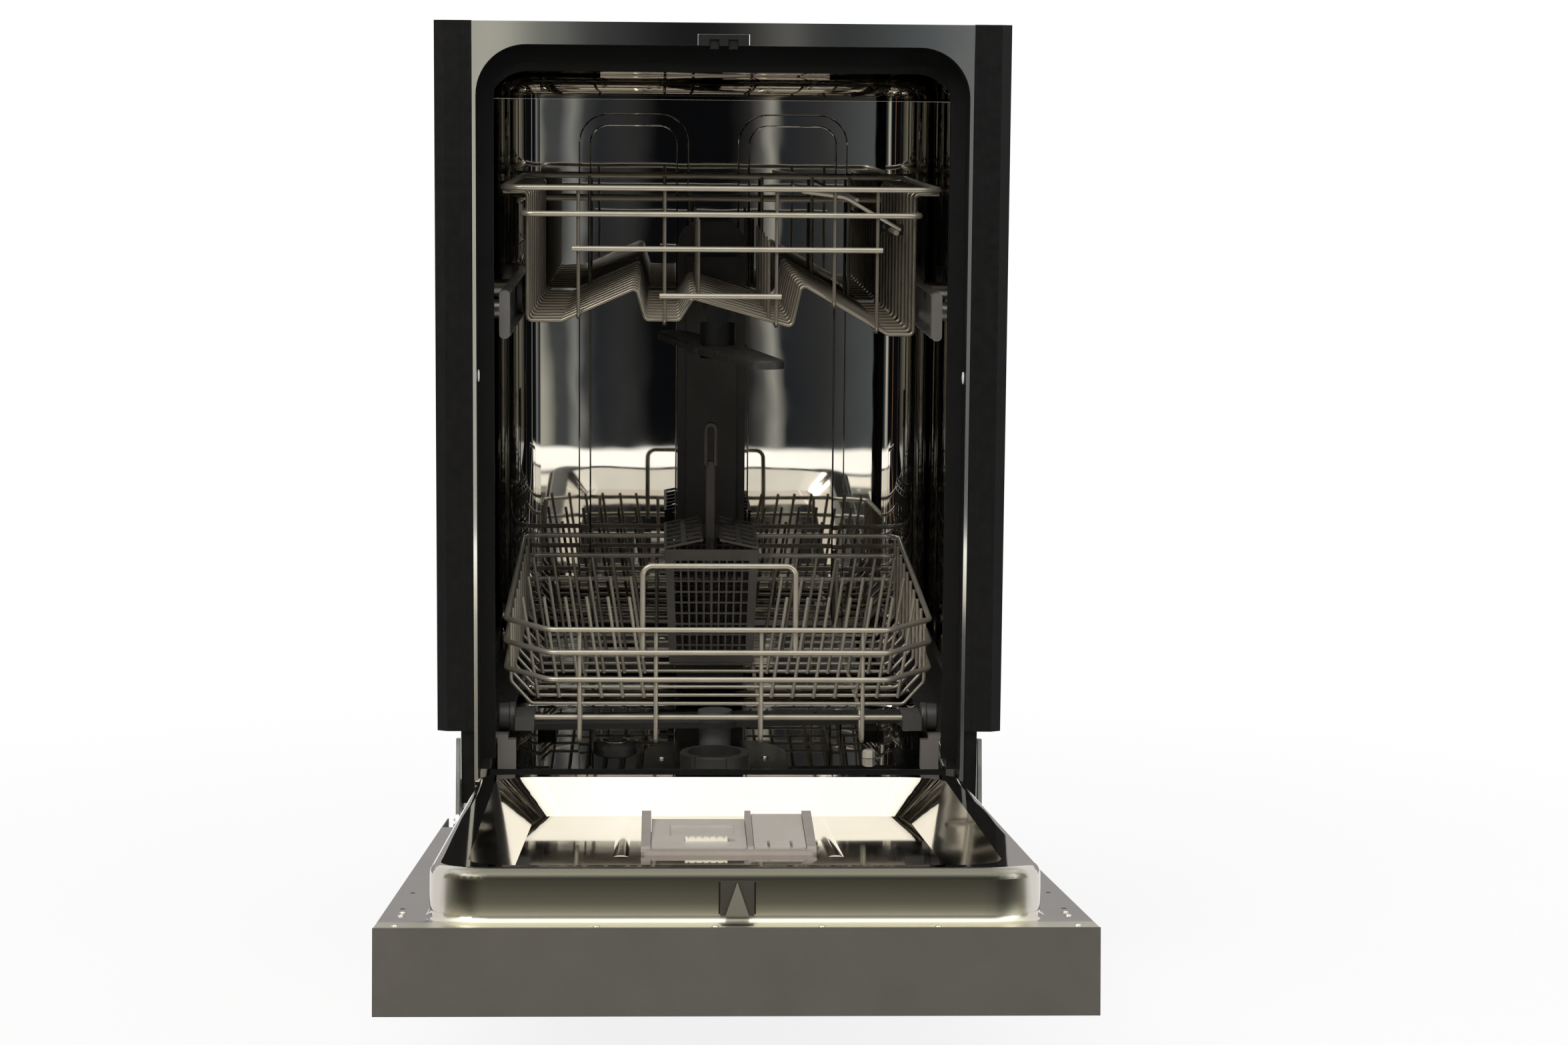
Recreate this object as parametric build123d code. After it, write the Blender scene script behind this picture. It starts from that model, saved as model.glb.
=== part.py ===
from build123d import *
import math
import os

# A slimline built-in dishwasher with its door open.
# Millimetres. X is to the right, Y goes into the machine from the front flange, Z is up from the floor.

# Sheet metal and clearances
SHEET = 0.8
TOUCH = 0.05
RUNNING_GAP = 0.3
SHAFT_GAP = 0.1

# Tub
TUB_HALF = 203.0
TUB_FRONT = 48.0
TUB_BACK = 500.0
TUB_CORNER = 40.0
TUB_FLOOR = 185.0
PAN_RIM = 206.0
PAN_ROUND = 14.0
SEAM_HEIGHT = 754.0
CEILING = 776.0
CEILING_ROUND = 19.0
CEILING_RIB_HALF = 105.0
CEILING_RIB_Y = 420.0
RIB_RADIUS = 6.0
RIB_RISE = 4.0
RIB_OUTER_X = 121.0
RIB_INNER_X = 29.0
RIB_TOP = 735.0
RIB_BEND = 22.0

# Mouth of the tub, its flange and what is set in it
MOUTH_HALF = 195.5
MOUTH_TOP = 796.5
MOUTH_CORNER = 40.0
FLANGE_SIDE = 2.8
FLANGE_RISE = 18.0
RING_LIP = 7.0
GASKET_WIDTH = 12.0
GASKET_TOP_WIDTH = 13.0
GASKET_BOTTOM = 216.0
GASKET_DEPTH = 12.0
GASKET_GAP = 0.8
SILL_SEAL_HALF = 188.0
SILL_SEAL_DEPTH = 3.0
SILL_SEAL_HEIGHT = 13.0
STRIP_WIDTH = 29.5
STRIP_FRONT = -1.5
STRIP_DEPTH = 20.0
STRIP_BOTTOM = 247.0
STRIP_BEVEL_WIDTH = 8.0
STRIP_BEVEL_DEPTH = 4.0
STRIP_RIB_INSET = 5.2
STRIP_RIB_WIDTH = 4.0
STRIP_RIB_HEIGHT = 0.8
STRIP_FOOT_BOTTOM = 187.0
STRIP_FOOT_WIDTH = 10.5
STRIP_FOOT_FRONT = 3.0
LATCH_HALF = 20.0
LATCH_DEPTH = 34.0
LATCH_HEIGHT = 9.0
LATCH_JAW_WIDTH = 7.0
LATCH_JAW_X = 7.5
LATCH_JAW_DROP = 2.5
BRACKET_X = 120.0
BRACKET_WIDTH = 34.0
BRACKET_REACH = 24.0
BRACKET_THICK = 1.2
BRACKET_HOLE_RADIUS = 2.25

# Door, laid out closed: heights from the pivot up, depths from the inner plane into the machine
PIVOT_Y = -2.0
PIVOT_Z = 170.2
DOOR_OPEN_ANGLE = 82.87
DOOR_HALF = 224.0
DOOR_THICK = 54.4
DOOR_TOP = 640.0
DOOR_BOTTOM = -62.0
DOOR_SKIN = 1.0
DOOR_HEM_HALF = 188.0
CONTROL_HEIGHT = 115.0
CONTROL_WALL = 2.5
LINER_EDGE = 0.5
LINER_HALF = 193.0
LINER_LOW = 20.0
LINER_HIGH = 620.0
LINER_RISE_HIGH = 34.0
LINER_RISE_LOW = 43.0
LINER_CORNER_HIGH = 38.0
LINER_CORNER_LOW = 24.0
LINER_ROUND = 7.0
LINER_FOOT_ROUND = 5.0
RECESS_DEPTH = 13.0
RECESS_HALF = 147.0
RECESS_LOW = 62.0
RECESS_HIGH = 575.0
RECESS_CORNER = 20.0
RECESS_SIDE_SLOPE = 1.04
RECESS_LOW_SLOPE = 0.53
RECESS_HIGH_SLOPE = 1.19
BEAD_X = 75.5
BEAD_WIDTH = 11.0
BEAD_RISE = 1.2
BEAD_HIGH = 358.0

# Dispenser in the liner's recess
DISPENSER_X = 0.5
DISPENSER_WIDTH = 124.0
DISPENSER_LOW = 244.0
DISPENSER_HIGH = 351.0
DISPENSER_CORNER = 8.0
DISPENSER_FLANGE = 3.0
DISPENSER_LIP = 4.0
DISPENSER_DEPTH = 34.0
DISPENSER_WALL = 2.0
DISPENSER_TOP_LOW = 19.5
DISPENSER_TOP_HIGH = 2.9
DISPENSER_LIP_RISE = 1.2
LID_LOW = 253.0
LID_HIGH = 344.0
LID_SPLIT_X = 15.9
LID_SPLIT_HALF = 2.6
LID_MARGIN = 7.3
LID_RISES = (13.2, 17.0)
LID_RISE_HIGH = 2.4
LID_PIN_RADIUS = 1.8
LID_PIN_LENGTH = 2.0
LID_BACK_LEAN = 2.0
LID_SIDE_GAP = 0.4
CATCH_SHIFT = 5.3
CATCH_FROM_EDGE = 16.0
CATCH_WIDTH = 30.0
CATCH_LENGTH = 10.0
CATCH_RISE = 1.5
CATCH_TRAVEL = 5.0
CATCH_RIBS = 6
LID_PANEL_LENGTH = 34.0
LID_PANEL_DEPTH = 1.2
LID_GROOVE_X = 8.0
LID_GROOVE_WIDTH = 2.0
STRIKER_WIDTH = 21.0
STRIKER_PLATE = 1.2
STRIKER_THICK = 3.0

# Control panel fittings
BUTTON_INSET = 74.0
PROGRAM_X = 70.0
BUTTON_NAMES = ("power_button", "program_button", "start_button")
BUTTON_RADIUS = 8.0
BUTTON_PROUD = 2.2
BUTTON_TRAVEL = 1.5
BUTTON_FLANGE = 1.5
BUTTON_BELOW_TOP = 32.0
WINDOW_HALF = 38.0
WINDOW_HEIGHT = 22.0
WINDOW_THICK = 1.8
POCKET_HALF = 80.0
POCKET_HEIGHT = 34.0
POCKET_DEPTH = 30.0
POCKET_BELOW_TOP = 104.0
BOARD_MARGIN = 15.0
BOARD_HEIGHT = 30.0
BOARD_THICK = 1.6
BOARD_POST_RADIUS = 3.0
BOARD_POST_LENGTH = 11.0

# Hinges and springs
HINGE_PLATE = 3.0
HINGE_ARM_INSET = 14.0
HINGE_PLATE_GAP = 1.0
HINGE_PIN_RADIUS = 5.0
HINGE_NOSE = 14.0
HINGE_ARM_LENGTH = 120.0
HINGE_ARM_WIDTH = 22.0
HINGE_TAIL = 70.0
HINGE_BRACKET_DROP = 60.0
HINGE_BRACKET_LENGTH = 80.0
SPRING_RADIUS = 6.0
SPRING_Z = 140.0
SPRING_FRONT = 215.0
SPRING_LENGTH = 130.0
SPRING_ROD_RADIUS = 2.0

# Base
BASE_INSET = 8.0
BASE_FRONT = 92.0
BASE_BACK = 508.0
BASE_BOTTOM = 38.0
BASE_WALL = 3.0
BASE_FRONT_TOP = 150.0
LEDGE_WIDTH = 30.0
LEDGE_THICK = 4.0
FOOT_X = 180.0
FOOT_FRONT_Y = 116.0
FOOT_BACK_Y = 465.0
FOOT_RADIUS = 22.0
FOOT_HEIGHT = 12.0
STUD_RADIUS = 5.0
STUD_TOP = 78.0
BOSS_RADIUS = 13.0
KICK_BOTTOM = 14.0
KICK_TOP = 105.0
KICK_THICK = 1.2

# Water works under and behind the tub
SUMP_LENGTH = 180.0
SUMP_WIDTH = 124.0
SUMP_Y = 185.0
SUMP_WALL = 3.0
SUMP_BOTTOM = 105.0
SUMP_FLANGE = 8.0
FILTER_X = -2.0
FILTER_Y = 130.0
FILTER_RADIUS = 26.0
FILTER_HEAD_RADIUS = 29.5
FILTER_TOP = 204.0
FILTER_DEEP = 62.0
FILTER_GRIPS = 6
FILTER_GRIP_RADIUS = 2.5
FILTER_GRIP_ANGLE = 22.0
FILTER_PLATE = 1.2
POST_Y = 240.0
POST_RADIUS = 10.0
LOWER_ARM_Z = 207.0
LOWER_ARM_HALF = 184.0
LOWER_ARM_ANGLE = 6.0
ARM_THICK = 7.0
ARM_WIDTH = 44.0
ARM_TIP_WIDTH = 30.0
ARM_HUB_RADIUS = 27.0
ARM_NOZZLES = 6
ARM_NOZZLE_RADIUS = 2.0
PUMP_RADIUS = 38.0
PUMP_LENGTH = 105.0
PUMP_Y = 300.0
PUMP_X = 70.0
PUMP_Z = 95.0
DRAIN_RADIUS = 24.0
DRAIN_LENGTH = 60.0
DRAIN_X = 120.0
DRAIN_Z = 90.0
SPIGOT_RADIUS = 9.5
SPIGOT_LENGTH = 20.0
TANK_X = -88.0
TANK_Y = 240.0
TANK_HALF_X = 19.0
TANK_HALF_Y = 70.0
TANK_BOTTOM = 62.0
NECK_RADIUS = 14.0
CAP_RADIUS = 19.0
CAP_HEIGHT = 6.0
FLOAT_X = 134.0
FLOAT_Y = 196.0
FLOAT_RADIUS = 5.5
FLOAT_HEIGHT = 7.0
FLOAT_STEM_RADIUS = 2.0
FLOAT_TRAVEL = 8.0
VALVE_X = -130.0
VALVE_Z = 80.0
VALVE_SIZE = 36.0
INLET_RADIUS = 13.2
INLET_LENGTH = 16.0
COLLAR_STEP = 2.0
BREAKER_FRONT = 150.0
BREAKER_BACK = 390.0
BREAKER_BOTTOM = 330.0
BREAKER_TOP = 610.0
BREAKER_THICK = 12.0
COLUMN_X = -1.0
COLUMN_HALF = 32.0
COLUMN_FACE_HALF = 23.5
COLUMN_TOP = 640.0
COLUMN_FRONT = 470.0
COLUMN_BACK = 492.0
COLUMN_STEP_Z = 520.0

# Upper rack
RAIL_WIRE = 4.5
THIN_WIRE = 3.0
RACK_FRONT = 52.0
RACK_BACK = 466.0
UPPER_FIRST_WIRE = 62.0
UPPER_PITCH = 39.4
UPPER_WIRES = 11
UPPER_TOP_Z = 683.0
UPPER_TOP_HALF = 177.0
UPPER_SIDE_HALF = 157.5
UPPER_SECOND_Z = 662.0
UPPER_THIRD_Z = 634.0
UPPER_THIRD_X = (-121.0, 131.0)
UPPER_FOURTH_Z = 596.0
UPPER_FOURTH_X = (-50.0, 49.0)
UPPER_UPRIGHT_XS = (-116.0, -46.0, 45.0, 92.0, 127.0)
UPPER_TINE_XS = (-18.0, 40.0)
UPPER_TINE_HEIGHT = 62.0
RACK_CORNER = 16.0
WAVE_POINTS = (
    (-130.0, 575.0),
    (-69.0, 602.0),
    (-61.5, 576.0),
    (-34.0, 576.0),
    (-23.0, 594.0),
    (58.0, 571.0),
    (66.0, 606.0),
    (137.0, 565.0),
)
WAVE_LEFT_Z = 575.0
WAVE_RIGHT_Z = 565.0
WAVE_BEND = 4.0
SHELF_PIVOT_X = 146.0
SHELF_PIVOT_Z = 646.0
SHELF_FRONT = 110.0
SHELF_BACK = 330.0
SHELF_REACH = 84.0
SHELF_ANGLE = 30.0
SHELF_WIRES = 9
SHELF_CLIPS = 2
SHELF_FIRST_CLIP = 3
SHELF_CLIP_STEP = 2

# Wall rails and rollers of the upper rack
CHANNEL_INNER = 171.0
CHANNEL_OUTER = 179.5
CHANNEL_BOTTOM = 562.5
CHANNEL_TOP = 598.5
CHANNEL_SHEET = 1.2
CHANNEL_FRONT = 56.0
CHANNEL_BACK = 490.0
CHANNEL_STUD_YS = (120.0, 420.0)
CHANNEL_STUD_RADIUS = 8.0
END_CAP_DEPTH = 11.0
END_CAP_GROW = 1.5
ROLLER_GAP = 0.4
ROLLER_WIDTH = 5.5
ROLLER_FRONT_Y = 322.0
ROLLER_BACK_Y = 442.0
ROLLER_AXLE_RADIUS = 4.0
BRACKET_PLATE = 3.5

# Upper spray arm
UPPER_ARM_Y = 222.0
UPPER_ARM_Z = 537.0
UPPER_ARM_HALF = 180.0
UPPER_ARM_ANGLE = 103.0
FEED_Z = 571.0
FEED_RADIUS = 11.0
SADDLE_HALF = 5.0
SADDLES = 3
FIRST_SADDLE = 5
SADDLE_STEP = 2
HUB_RADIUS = 9.0
HUB_CAP_RADIUS = 15.0
HUB_CAP_HEIGHT = 4.0

# Lower rack
LOWER_HALF = 177.0
LOWER_FRONT = 52.0
LOWER_CHAMFER_X = 140.0
LOWER_CHAMFER_Y = 95.0
LOWER_TOP_Z = 321.5
LOWER_MID_Z = 302.5
LOWER_LOW_Z = 280.0
LOWER_BACK_RISE = 22.5
LOWER_FLOOR_Z = 251.0
LOWER_FLOOR_HALF = 156.0
LOWER_SLANT_Z = 270.0
LOWER_FIRST_WIRE = 100.0
LOWER_WIRES = 10
LOWER_PITCH = 39.0
LOWER_UPRIGHT_XS = (-115.0, -52.0, 35.0, 119.0)
LOWER_RUNNER = 3.5
LOWER_DIP_Z = 227.0
LOWER_BAR_Z = 247.0
HANDLE_HALF = 63.0
HANDLE_TOP = 374.0
TINE_TOP = 336.0
TINE_LEAN = 13.0
TINE_PITCH = 18.0
LEFT_TINES = 6
LEFT_TINE_X = -62.0
RIGHT_TINES = 7
RIGHT_TINE_X = 46.0
TINE_ROWS = 3
FIRST_TINE_ROW = 1
TINE_ROW_STEP = 3
WHEEL_RADIUS = 11.0
WHEEL_FLANGE_RADIUS = 12.0
WHEEL_FLANGE = 5.2
WHEEL_FLANGE_ROOM = 3.7
WHEEL_INNER = 168.0
WHEEL_OUTER = 182.0
WHEEL_Z = 246.0
WHEEL_FRONT_Y = 70.0
WHEEL_BACK_Y = 392.5
AXLE_RADIUS = 3.0
AXLE_END = 1.0
WHEEL_BLOCK_INSET = 4.0
WHEEL_BLOCK_DROP = 8.0
WHEEL_BLOCK_HALF = 22.0
TRACK_THICK = 3.0
TRACK_STOP_BOTTOM = 206.0
TRACK_STOP_WIDTH = 15.0
TRACK_STOP_DEPTH = 10.0

# Cutlery basket
BASKET_X = -3.0
BASKET_WIDTH = 84.0
BASKET_FRONT = 285.0
BASKET_BACK = 455.0
BASKET_HEIGHT = 103.0
BASKET_WALL = 2.0
BASKET_BAR = 3.0
BASKET_COLUMNS = 5
BASKET_SIDE_COLUMNS = 8
BASKET_ROWS = 4
BASKET_HANDLE_TOP = 462.0
BASKET_HANDLE_WIDTH = 11.0
BASKET_HANDLE_DEPTH = 22.0
BASKET_SLOT_LOW = 428.0
BASKET_SLOT_HIGH = 453.0
LID_SLOPE = 12.0
LID_THICK = 2.0
LID_SLOT_ROWS = 6
LID_SLOT_COLUMNS = 2

# Sizes that follow from the ones above
SIDES = (-1, 1)
FLANGE_HALF = MOUTH_HALF + FLANGE_SIDE
FLANGE_TOP = MOUTH_TOP + FLANGE_RISE
FLANGE_NOTCH = LATCH_HALF + 0.5
STRIP_INNER = FLANGE_HALF + RUNNING_GAP
STRIP_OUTER = STRIP_INNER + STRIP_WIDTH
STRIP_TOP = FLANGE_TOP + RUNNING_GAP
BASE_HALF = DOOR_HALF - BASE_INSET
BASE_TOP = TUB_FLOOR - SHEET - TOUCH
HINGE_ARM_X = DOOR_HALF - HINGE_ARM_INSET
HINGE_BRACKET_X = HINGE_ARM_X - HINGE_PLATE - HINGE_PLATE_GAP
BRACKET_LOW = PIVOT_Z - HINGE_BRACKET_DROP
BUTTON_XS = (BUTTON_INSET - DOOR_HALF, PROGRAM_X, DOOR_HALF - BUTTON_INSET)
BOARD_HALF = DOOR_HALF - BUTTON_INSET + BOARD_MARGIN
LID_BASE = RECESS_DEPTH + DISPENSER_FLANGE
CONTROL_LOW = DOOR_TOP - CONTROL_HEIGHT
SKIN_INSIDE = -DOOR_THICK + CONTROL_WALL
ROLLER_RADIUS = (CHANNEL_TOP - CHANNEL_BOTTOM) / 2 - CHANNEL_SHEET - ROLLER_GAP
ROLLER_Z = (CHANNEL_TOP + CHANNEL_BOTTOM) / 2
WIRE_STEP = (RAIL_WIRE + THIN_WIRE) / 2 + TOUCH
TRACK_TOP = WHEEL_Z - WHEEL_RADIUS - RUNNING_GAP
TRACK_INNER = WHEEL_INNER + WHEEL_FLANGE + RUNNING_GAP
BASKET_BOTTOM = LOWER_FLOOR_Z + THIN_WIRE / 2 + RUNNING_GAP
BASKET_TOP = BASKET_BOTTOM + BASKET_HEIGHT
DOOR_POSE = Pos(0, PIVOT_Y, PIVOT_Z) * Rot(DOOR_OPEN_ANGLE, 0, 0) * Pos(0, -PIVOT_Y, -PIVOT_Z)


def block(x, y, z):
    """A box between a low and a high value on each axis."""
    centre = Pos(sum(x) / 2, sum(y) / 2, sum(z) / 2)
    return centre * Box(abs(x[1] - x[0]), abs(y[1] - y[0]), abs(z[1] - z[0]))


def rod(start, end, radius):
    """A round bar from one point to another."""
    axis = Vector(*end) - Vector(*start)
    return extrude(Plane(origin=start, z_dir=axis) * Circle(radius), amount=axis.length)


def rod_x(x, y, z, radius):
    return rod((min(x), y, z), (max(x), y, z), radius)


def wire(points, diameter, bend):
    """A bent wire through the points, with one radius at every corner."""
    path = FilletPolyline(*points, radius=bend)
    return sweep(Plane(origin=path @ 0, z_dir=path % 0) * Circle(diameter / 2), path=path)


def side_plate(points, x):
    """A plate between two X values, from its outline in Y and Z."""
    facing = Plane((min(x), 0, 0), x_dir=(0, 1, 0), z_dir=(1, 0, 0))
    return extrude(facing * make_face(Polyline(*points, close=True)), amount=abs(x[1] - x[0]))


def arch(half, bottom, top, corner, y):
    """A block between two Y values whose outline has round upper corners."""
    face = Pos(0, (bottom + top) / 2) * Rectangle(2 * half, top - bottom)
    face = fillet(face.vertices().group_by(Axis.Y)[-1], corner)
    facing = Plane((0, y[1], 0), x_dir=(1, 0, 0), z_dir=(0, -1, 0))
    return extrude(facing * face, amount=y[1] - y[0])


def slot_prism(length, width, y, z):
    """A block with round ends, long in Y, between two heights."""
    face = Pos(0, y) * SlotOverall(length, width, rotation=90)
    return extrude(Plane.XY.offset(z[0]) * face, amount=z[1] - z[0])


def tub_prism(grow, z, front):
    """The tub's plan, grown all round, between two heights."""
    back = TUB_BACK + grow
    face = Pos(0, (front + back) / 2) * Rectangle(2 * (TUB_HALF + grow), back - front)
    face = fillet(face.vertices().group_by(Axis.Y)[-1], TUB_CORNER + grow)
    return extrude(Plane.XY.offset(z[0]) * face, amount=z[1] - z[0])


def mirrored(solid):
    """A piece and its twin on the other side."""
    return [solid, mirror(solid, about=Plane.YZ)]


# Tub


def tub_wrapper():
    height = (PAN_RIM + TOUCH, SEAM_HEIGHT - TOUCH)
    walls = tub_prism(SHEET, height, TUB_FRONT) - tub_prism(0, height, TUB_FRONT)
    inside = block((-TUB_HALF, TUB_HALF), (TUB_BACK - RIB_RISE, TUB_BACK + SHEET / 2), height)
    low = height[0] + RIB_RADIUS
    for side in SIDES:
        outer = (side * RIB_OUTER_X, TUB_BACK, low)
        inner = (side * RIB_INNER_X, TUB_BACK, low)
        tops = [(x, TUB_BACK, RIB_TOP) for x in (side * RIB_OUTER_X, side * RIB_INNER_X)]
        walls += wire([outer, *tops, inner], 2 * RIB_RADIUS, RIB_BEND) & inside
    return [walls]


def tub_top_pan():
    def dome(grow):
        solid = tub_prism(grow, (SEAM_HEIGHT, CEILING + grow), TUB_FRONT)
        rim = solid.faces().sort_by(Axis.Z)[-1].edges()
        rim = [edge for edge in rim if edge.center().Y > TUB_FRONT + SHEET]
        return fillet(rim, CEILING_ROUND + grow)

    pan = dome(SHEET) - dome(0)
    ends = [(x, CEILING_RIB_Y, CEILING + SHEET / 2) for x in (-CEILING_RIB_HALF, CEILING_RIB_HALF)]
    rib = rod(*ends, RIB_RADIUS) & block(
        (-TUB_HALF, TUB_HALF), (TUB_FRONT, TUB_BACK), (CEILING - RIB_RISE, CEILING + SHEET / 2)
    )
    return [pan + rib]


def tub_bottom_pan():
    def tray(grow, top):
        solid = tub_prism(grow, (TUB_FLOOR - grow, top), TUB_FRONT - grow)
        return fillet(solid.faces().sort_by(Axis.Z)[0].edges(), PAN_ROUND + grow)

    pan = tray(SHEET, PAN_RIM) - tray(0, PAN_RIM)
    through = (TUB_FLOOR - 2 * SHEET, TUB_FLOOR + SHEET)
    pan -= slot_prism(SUMP_LENGTH - 2 * SUMP_FLANGE, SUMP_WIDTH - 2 * SUMP_FLANGE, SUMP_Y, through)
    pan -= rod((TANK_X, TANK_Y, through[0]), (TANK_X, TANK_Y, through[1]), NECK_RADIUS + RUNNING_GAP)
    stem = FLOAT_STEM_RADIUS + RUNNING_GAP
    pan -= rod((FLOAT_X, FLOAT_Y, through[0]), (FLOAT_X, FLOAT_Y, through[1]), stem)
    return [pan]


def tub_front_frame():
    def mouth(grow, y):
        return arch(MOUTH_HALF + grow, PAN_RIM - 1, MOUTH_TOP + grow, MOUTH_CORNER + grow, y)

    depth = (0, TUB_FRONT - TOUCH)
    front = (0, SHEET)
    flange = block((-FLANGE_HALF, FLANGE_HALF), front, (PAN_RIM, FLANGE_TOP)) - mouth(0, front)
    collar = mouth(SHEET, depth) - mouth(0, depth)
    rear = (TUB_FRONT - SHEET, TUB_FRONT - TOUCH)
    ring = block((-TUB_HALF, TUB_HALF), rear, (PAN_RIM + TOUCH, MOUTH_TOP + SHEET))
    ring -= arch(MOUTH_HALF - RING_LIP, PAN_RIM - 1, CEILING, MOUTH_CORNER - RING_LIP, rear)
    frame = flange + collar + ring
    behind = STRIP_FRONT + STRIP_DEPTH + TOUCH
    for side in SIDES:
        wing = (side * (MOUTH_HALF + SHEET / 2), side * (STRIP_OUTER - SHEET))
        frame += block(wing, (behind, behind + SHEET), (STRIP_BOTTOM + 5, MOUTH_TOP - MOUTH_CORNER))
    frame -= block((-TUB_HALF, TUB_HALF), (-1, TUB_FRONT), (0, PAN_RIM + TOUCH))
    notch_top = MOUTH_TOP + LATCH_HEIGHT
    notch = block((-FLANGE_NOTCH, FLANGE_NOTCH), (-1, LATCH_DEPTH + 1), (MOUTH_TOP - 1, notch_top))
    return [frame - notch]


def rim_depth(height):
    """How far the closed liner's rim reaches into the machine at a height above the pivot."""
    share = (height - LINER_LOW) / (LINER_HIGH - LINER_LOW)
    return LINER_RISE_LOW + (LINER_RISE_HIGH - LINER_RISE_LOW) * share


def door_gasket():
    back = TUB_FRONT - SHEET - TOUCH
    depth = (back - GASKET_DEPTH, back)
    outer = arch(MOUTH_HALF - TOUCH, GASKET_BOTTOM, MOUTH_TOP - TOUCH, MOUTH_CORNER - TOUCH, depth)
    half = MOUTH_HALF - GASKET_WIDTH
    inner = arch(half, GASKET_BOTTOM - 1, MOUTH_TOP - GASKET_TOP_WIDTH, MOUTH_CORNER - GASKET_WIDTH, depth)
    ends = [GASKET_BOTTOM - 1, MOUTH_TOP + 1]
    rim = [(PIVOT_Y + rim_depth(z - PIVOT_Z) + GASKET_GAP, z) for z in ends]
    door_room = side_plate([(-1, ends[0]), *rim, (-1, ends[1])], (-MOUTH_HALF, MOUTH_HALF))
    sill_back = TUB_FRONT - SHEET - TOUCH
    sill = (sill_back - SILL_SEAL_DEPTH, sill_back)
    strip = block((-SILL_SEAL_HALF, SILL_SEAL_HALF), sill, (PAN_RIM - SILL_SEAL_HEIGHT, PAN_RIM))
    return [outer - inner - door_room, strip]


def side_strips():
    """Black sealing strips beside the mouth, bevelled outside, with one fine rib and a foot at the hinge."""
    back = STRIP_FRONT + STRIP_DEPTH
    face = STRIP_FRONT + STRIP_RIB_HEIGHT
    rib = STRIP_INNER + STRIP_RIB_INSET
    outline = [
        (STRIP_INNER, back),
        (STRIP_INNER, face),
        (rib, face),
        (rib + STRIP_RIB_HEIGHT, STRIP_FRONT),
        (rib + STRIP_RIB_WIDTH - STRIP_RIB_HEIGHT, STRIP_FRONT),
        (rib + STRIP_RIB_WIDTH, face),
        (STRIP_OUTER - STRIP_BEVEL_WIDTH, face),
        (STRIP_OUTER, face + STRIP_BEVEL_DEPTH),
        (STRIP_OUTER, back),
    ]
    profile = make_face(Polyline(*outline, close=True))
    strip = extrude(Plane.XY.offset(STRIP_BOTTOM) * profile, amount=STRIP_TOP - STRIP_BOTTOM)
    foot_x = (STRIP_INNER, STRIP_INNER + STRIP_FOOT_WIDTH)
    strip += block(foot_x, (STRIP_FOOT_FRONT, back), (STRIP_FOOT_BOTTOM, STRIP_BOTTOM + 1))
    return mirrored(strip)


def door_latch():
    bottom = MOUTH_TOP + TOUCH
    body = block((-LATCH_HALF, LATCH_HALF), (0, LATCH_DEPTH), (bottom, MOUTH_TOP + LATCH_HEIGHT - TOUCH))
    room = LATCH_JAW_WIDTH + 2 * RUNNING_GAP
    for side in SIDES:
        slot = (side * LATCH_JAW_X - room / 2, side * LATCH_JAW_X + room / 2)
        body -= block(slot, (-1, LATCH_DEPTH / 2), (bottom, bottom + LATCH_HEIGHT * 0.55))
        jaw = (side * LATCH_JAW_X - LATCH_JAW_WIDTH / 2, side * LATCH_JAW_X + LATCH_JAW_WIDTH / 2)
        body += block(jaw, (2, LATCH_DEPTH / 2), (MOUTH_TOP - LATCH_JAW_DROP, bottom + LATCH_HEIGHT * 0.6))
    return [body]


def counter_brackets():
    half = BRACKET_WIDTH / 2
    top = FLANGE_TOP - TOUCH
    x = (BRACKET_X - half, BRACKET_X + half)
    upright = block(x, (SHEET + TOUCH, SHEET + TOUCH + BRACKET_THICK), (MOUTH_TOP + 4, top))
    reach = SHEET + TOUCH + BRACKET_REACH
    tab = block(x, (SHEET + TOUCH, reach), (top - BRACKET_THICK, top))
    hole_y = SHEET + BRACKET_REACH * 0.6
    hole = rod((BRACKET_X, hole_y, MOUTH_TOP), (BRACKET_X, hole_y, FLANGE_TOP + 1), BRACKET_HOLE_RADIUS)
    return mirrored(upright + tab - hole)


# Base


def foot_places():
    return [(side * FOOT_X, y) for y in (FOOT_FRONT_Y, FOOT_BACK_Y) for side in SIDES]


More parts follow.
